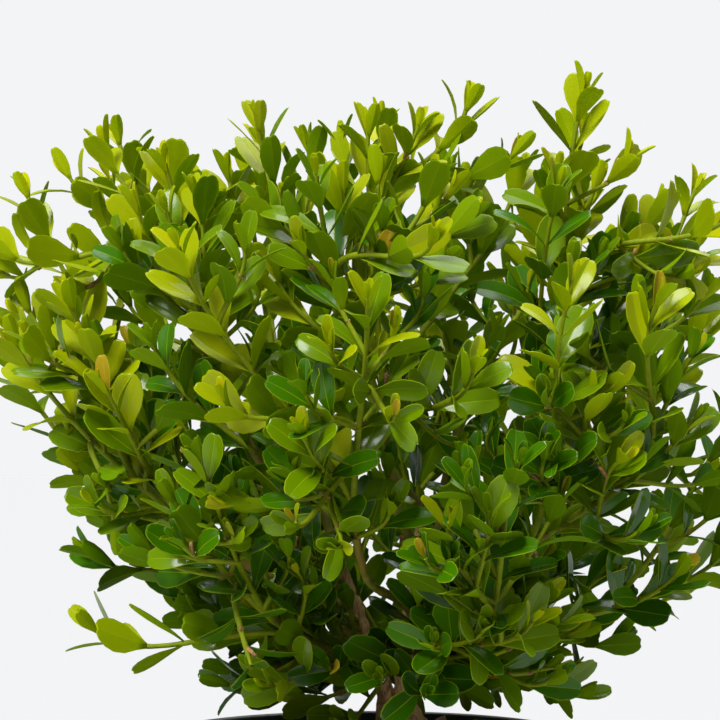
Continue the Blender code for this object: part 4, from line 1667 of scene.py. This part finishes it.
def leaf_tint(base, k, draw):
    """The tint of a leaf in the pair at place k from the tip of a spray with this base tint."""
    newer = NEWER_TOWARDS_TIP[min(k, len(NEWER_TOWARDS_TIP) - 1)]
    tint = round(base + newer + draw.uniform(-LEAF_TINT_JITTER, LEAF_TINT_JITTER))
    if k < len(BRONZE_SHARE) and draw.random() < BRONZE_SHARE[k]:
        return BRONZE
    return min(max(tint, 0), NEWEST)


def place_leaves(twigs, fine, space, length, draw):
    """The leafy shoots of a mass, and each leaf that finds room: root, turn, size, shape and tint.

    Where a full-grown leaf has no room, a smaller may. A finer shoot with few leaves is left out.
    """
    taken, leafy, found = np.zeros((0, 3)), [], []
    for twig in (*twigs, *fine):
        base = spray_tint(twig.points[-1], draw)
        filled, leaves = taken, []
        for root, way, above, size, k in leaf_frames(twig, draw):
            side = above.cross(way)
            for smaller in SMALLER:
                full = length * size * smaller
                places = leaf_places(root, way, side, full)
                if not space.holds(places, LIMB_MARGIN, LEAF_OVERLAP):
                    continue
                blade = places[len(TEST_COLUMNS) :]
                if k >= YOUNG_PAIRS and len(filled):
                    apart = np.linalg.norm(blade[:, None] - filled[None], axis=2)
                    if apart.min() < LEAF_SPACING:
                        continue
                filled = np.concatenate([filled, blade])
                tint = leaf_tint(base, k, draw)
                shape = draw.choice(YOUNG_SHAPES if k < YOUNG_PAIRS else GROWN_SHAPES)
                leaves.append((root, Matrix((way, side, above)).transposed(), full, shape, tint))
                break
        if twig in twigs or len(leaves) >= LEAST_LEAVES:
            taken = filled
            leafy.append(twig)
            found += leaves
    return leafy, found


@functools.cache
def leafy_plant(fine_share, length):
    """The leafy shoots and the leaves of each mass."""
    return {
        name: place_leaves(twigs, fine, space, length, draw)
        for name, (twigs, fine, space, draw) in grown_plant(fine_share)[3].items()
    }


def points_mesh(name, places):
    """Points that carry the turn, size, shape and tint of what is put on them."""
    mesh = bpy.data.meshes.new(name)
    mesh.from_pydata([tuple(place[0]) for place in places], [], [])
    turns = [tuple(place[1].to_euler()) for place in places]
    sizes = [(place[2],) * 3 for place in places]
    for label, values in (("turn", turns), ("size", sizes)):
        attribute = mesh.attributes.new(label, "FLOAT_VECTOR", "POINT")
        attribute.data.foreach_set("vector", np.array(values, np.float32).ravel())
    for label, column in (("shape", 3), ("tint", 4)):
        attribute = mesh.attributes.new(label, "INT", "POINT")
        attribute.data.foreach_set("value", np.array([p[column] for p in places], np.int32))
    return mesh


def tint_labels():
    """The label in the tree of each part of each tint."""
    return [f"{tint.capitalize()} {part}" for tint in TINTS for part in LEAF_PARTS]


def sprays_tree():
    """Puts a leaf on each point, and gives each part of each tint its material."""
    nodes = {
        **INSTANCING_NODES,
        **CARRIED_NODES,
        "tint": read_attribute("tint", "INT"),
        "part": read_attribute("part", "INT"),
        "code": ("FunctionNodeIntegerMath", {"operation": "MULTIPLY_ADD"}, {1: len(LEAF_PARTS)}),
    }
    links = [*INSTANCING_LINKS, *CARRIED_LINKS, "tint.0 > code.0", "part.0 > code.2"]
    equal = {"data_type": "INT", "operation": "EQUAL"}
    painted = "real.0"
    for k, label in enumerate(tint_labels()):
        nodes[f"chosen {k}"] = ("FunctionNodeCompare", equal, {3: k})
        nodes[f"paint {k}"] = ("GeometryNodeSetMaterial", {}, {})
        links += [
            f"code.0 > chosen {k}.2",
            f"{painted} > paint {k}.Geometry",
            f"chosen {k}.0 > paint {k}.Selection",
            f"given.{label} > paint {k}.Material",
        ]
        painted = f"paint {k}.0"
    links.append(f"{painted} > result.Geometry")
    inputs = [("Shapes", "Collection")] + [(label, "Material") for label in tint_labels()]
    return new_tree("leaf sprays", inputs, nodes, links)


def leaf_materials(leaves):
    """The finish of each part of each tint, by its label in the tree."""
    finishes = []
    rib, underside = Vector(leaves.rib), Vector(leaves.underside)
    for k, tint in enumerate(TINTS):
        colour = Vector(getattr(leaves, tint))
        newness = min(k, NEWEST) / NEWEST
        # Each part's colour, roughness and coat
        parts = (
            (colour, leaves.gloss + 0.2 * newness, 0.6 - 0.5 * newness),
            (rib.lerp(colour, 0.55 - 0.3 * newness), 0.5, 0.0),
            (underside.lerp(colour, 0.75 - 0.3 * newness), 0.65, 0.0),
        )
        for part, (shade, rough, coat) in zip(LEAF_PARTS, parts):
            constants = {
                "Roughness": rough,
                "Coat_Weight": coat,
                "Coat_Roughness": 0.15,
                "Specular_IOR_Level": 0.05,
                "Subsurface_Weight": 0.1 + 0.15 * newness,
            }
            finishes.append(leaf_material(f"{tint} leaf {part}", tuple(shade), **constants))
    return dict(zip(tint_labels(), finishes))


class SHRUB_OT_leaves(bpy.types.Operator):
    """Puts a leaf on every point where the rule finds room for one"""

    bl_idname = "shrub.leaves"
    bl_label = "Leaves"

    def execute(self, context):
        leaves = context.scene.shrub_leaves
        leafy = leafy_plant(context.scene.shrub_shoots.fine_share, leaves.length)
        meshes = [leaf_mesh(k) for k in range(len(LEAF_SHAPES))]
        shapes = shape_collection("leaf shapes", meshes)
        values = {"node_group": sprays_tree(), "input Shapes": shapes}
        for label, finish in leaf_materials(leaves).items():
            values[f"input {label}"] = finish
        for name, (_, places) in leafy.items():
            points = points_mesh(f"points_{name}", places)
            mesh = without_spares(evaluated_mesh(name, points, [("NODES", values)]))
            place_piece(f"leaves_{name}", mesh, stood_for(name))
        drop_collection(shapes)
        return {"FINISHED"}


# ---------------------------------------------------------------- bud scales and clipped stubs


SCALE_SIZE = (1.4 * MM, 2.6 * MM)
SCALES_PER_NODE = 3
SCALY_SHARE = 0.4
SCALES_FROM_FOOT = 1.2 * MM
SCALES_FURTHER = (0.3, 0.7)
SCALE_LEAN = (0.1, 0.5)
SCALE_FROM_MIDDLE = 0.7
STUB_SHARE = 0.16
STUB_LENGTH = (4 * MM, 9 * MM)
STUB_RADIUS, STUB_TAPER = 0.75 * MM, 0.85
STUB_FROM = (0.35, 0.85)
STUB_LEAN, STUB_MIDDLE = 0.7, 0.6
STUB_SIDES, STUB_STEP = 6, 2 * MM


def bud_scales(lines, draw):
    """Dry scales round the foot of each shoot and at a node further out: place, turn and size."""
    found = []
    for line in lines:
        for distance in (SCALES_FROM_FOOT, line.length * draw.uniform(*SCALES_FURTHER)):
            if draw.random() > SCALY_SHARE:
                continue
            root, along, radius = line.at(distance)
            across = square_to(crossing(line, draw), along)
            for k in range(SCALES_PER_NODE):
                side = turned_about(across, along, math.tau * k / SCALES_PER_NODE)
                way = unit(along + side * draw.uniform(*SCALE_LEAN))
                over = along.cross(side)
                turned = Matrix((way, over, way.cross(over))).transposed()
                place = root + side * radius * SCALE_FROM_MIDDLE
                found.append((place, turned, draw.uniform(*SCALE_SIZE), 0, 0))
    return found


def stub_lines(lines, draw):
    """Short dry stubs where shoots were clipped."""
    found = []
    for line in lines:
        if draw.random() < STUB_SHARE:
            place, along, _ = line.at(line.length * draw.uniform(*STUB_FROM))
            side = square_to(crossing(line, draw), along)
            end = place + unit(along + side * STUB_LEAN) * draw.uniform(*STUB_LENGTH)
            points = [place, place.lerp(end, STUB_MIDDLE), end]
            found.append(Line(points, STUB_RADIUS, STUB_RADIUS * STUB_TAPER))
    return found


def scales_tree():
    """Puts a scale on each point."""
    inputs = (("Shapes", "Collection"), ("Dry", "Material"))
    paint = {"paint": ("GeometryNodeSetMaterial", {}, {})}
    nodes = {**INSTANCING_NODES, **CARRIED_NODES, **paint}
    links = (
        *INSTANCING_LINKS,
        *CARRIED_LINKS,
        "real.0 > paint.Geometry",
        "given.Dry > paint.Material",
        "paint.0 > result.Geometry",
    )
    return new_tree("bud scales", inputs, nodes, links)


class SHRUB_OT_scales(bpy.types.Operator):
    """Adds the dry bud scales at the foot of the shoots, and the stubs of clipped ones"""

    bl_idname = "shrub.scales"
    bl_label = "Bud scales and stubs"

    def execute(self, context):
        shoots = context.scene.shrub_shoots
        leafy = leafy_plant(shoots.fine_share, context.scene.shrub_leaves.length)
        draw = random.Random(MASS_SEED - 2)
        lines = [line for twigs, _ in leafy.values() for line in twigs]
        dry, dark = tuple(shoots.dry), scaled(shoots.dry, 0.4)
        shapes = shape_collection("scale shapes", [bud_mesh()])
        finish = mottled_material("dry scales", dry, dark, 0.7, (600, 0.15, 0.4), 0.2 * MM)
        values = {"node_group": scales_tree(), "input Shapes": shapes, "input Dry": finish}
        points = points_mesh("scale points", bud_scales(lines, draw))
        scales = without_spares(evaluated_mesh("bud scales", points, [("NODES", values)]))
        place_piece("bud_scales", scales, [])
        drop_collection(shapes)

        shape = bmesh.new()
        for stub in stub_lines(lines, draw):
            sweep(shape, stub, STUB_SIDES, STUB_STEP)
        stubs = smooth_mesh(shape, "clipped stubs")
        pale = scaled(dry, 1.2)
        finish = mottled_material("dry stubs", pale, dark, 0.8, (500, 0.15, 0.4), 0.3 * MM)
        stubs.materials.append(finish)
        place_piece("clipped_stubs", stubs, [])
        return {"FINISHED"}


# ---------------------------------------------------------------- stage


# Lights: azimuth and elevation that the light comes from, strength, and apparent width in degrees
STUDIO_LIGHTS = (
    ("key", -34, 48, 4.3, 26),
    ("back", 160, 60, 2.2, 50),
)
FILL = 0.15
SENSOR_WIDTH = 36
FLOOR_RADIUS, FLOOR_SIDES = 6, 96


def soft_light(name, azimuth, elevation, strength, softness):
    """A wide soft light from far away, so that the floor is as bright everywhere."""
    data = bpy.data.lights.new(name, "SUN")
    data.energy = strength
    data.angle = math.radians(softness)
    light = bpy.data.objects.new(name, data)
    light.rotation_euler = heading(azimuth, elevation).to_track_quat("Z", "Y").to_euler()
    bpy.context.scene.collection.objects.link(light)


def pale_surroundings(stage):
    """A pale background that lights the plant less than it shows, so that the crown has depth."""
    world = bpy.data.worlds.new("surroundings")
    world.use_nodes = True
    tree = world.node_tree
    shown = tree.nodes["Background"]
    sky = (*stage.sky, 1)
    shown.inputs["Color"].default_value = sky
    nodes = {
        "lighting": ("ShaderNodeBackground", {}, {"Color": sky, "Strength": FILL}),
        "rays": ("ShaderNodeLightPath", {}, {}),
        "mix": ("ShaderNodeMixShader", {}, {}),
    }
    links = (
        "rays.Is Camera Ray > mix.0",
        "lighting.0 > mix.1",
        "shown.0 > mix.2",
        "mix.0 > output.Surface",
    )
    wire(tree, nodes, links, shown=shown, output=tree.nodes["World Output"])
    return world


class SHRUB_OT_stage(bpy.types.Operator):
    """Sets up the camera, the soft studio light and the pale floor"""

    bl_idname = "shrub.stage"
    bl_label = "Stage"

    def execute(self, context):
        scene, stage = context.scene, context.scene.shrub_stage
        scene.view_settings.view_transform = "Standard"
        camera = bpy.data.objects.new("camera", bpy.data.cameras.new("camera"))
        camera.data.lens = stage.lens
        camera.data.sensor_width = SENSOR_WIDTH
        camera.location = (stage.shift, -stage.distance, stage.height)
        camera.rotation_euler = (math.radians(90), 0, 0)
        scene.collection.objects.link(camera)
        scene.camera = camera

        shape = bmesh.new()
        bmesh.ops.create_circle(shape, cap_ends=True, segments=FLOOR_SIDES, radius=FLOOR_RADIUS)
        floor = bpy.data.objects.new("floor", smooth_mesh(shape, "floor"))
        scene.collection.objects.link(floor)
        finish, _, shader = new_material("pale floor", Roughness=0.9)
        shader.inputs["Base Color"].default_value = (*stage.floor, 1)
        floor.data.materials.append(finish)

        scene.world = pale_surroundings(stage)
        for name, azimuth, elevation, strength, softness in STUDIO_LIGHTS:
            soft_light(name, azimuth, elevation, strength, softness)
        return {"FINISHED"}


# ---------------------------------------------------------------- panel and registration


class SHRUB_PT_panel(bpy.types.Panel):
    """Lists the shrub's settings and the buttons that make its pieces"""

    bl_label = "Potted box shrub"
    bl_idname = "SHRUB_PT_panel"
    bl_space_type = "VIEW_3D"
    bl_region_type = "UI"
    bl_category = "Shrub"

    def draw(self, context):
        for group, settings in SETTINGS.items():
            box = self.layout.box()
            box.label(text=settings.__doc__)
            for key in settings.__annotations__:
                box.prop(getattr(context.scene, group), key)
        for operator in OPERATORS:
            self.layout.operator(operator.bl_idname)


SETTINGS = {
    "shrub_pot": PotSettings,
    "shrub_limbs": LimbSettings,
    "shrub_shoots": ShootSettings,
    "shrub_leaves": LeafSettings,
    "shrub_stage": StageSettings,
}
OPERATORS = (
    SHRUB_OT_stage,
    SHRUB_OT_pot,
    SHRUB_OT_compost,
    SHRUB_OT_stems,
    SHRUB_OT_boughs,
    SHRUB_OT_shoots,
    SHRUB_OT_leaves,
    SHRUB_OT_scales,
)


def register():
    for made in (*SETTINGS.values(), *OPERATORS, SHRUB_PT_panel):
        bpy.utils.register_class(made)
    for group, settings in SETTINGS.items():
        setattr(bpy.types.Scene, group, bpy.props.PointerProperty(type=settings))


def unregister():
    for group in SETTINGS:
        delattr(bpy.types.Scene, group)
    for made in (SHRUB_PT_panel, *reversed(OPERATORS), *SETTINGS.values()):
        bpy.utils.unregister_class(made)


def main():
    register()
    for operator in OPERATORS:
        group, name = operator.bl_idname.split(".")
        getattr(getattr(bpy.ops, group), name)()


if __name__ == "__main__":
    main()
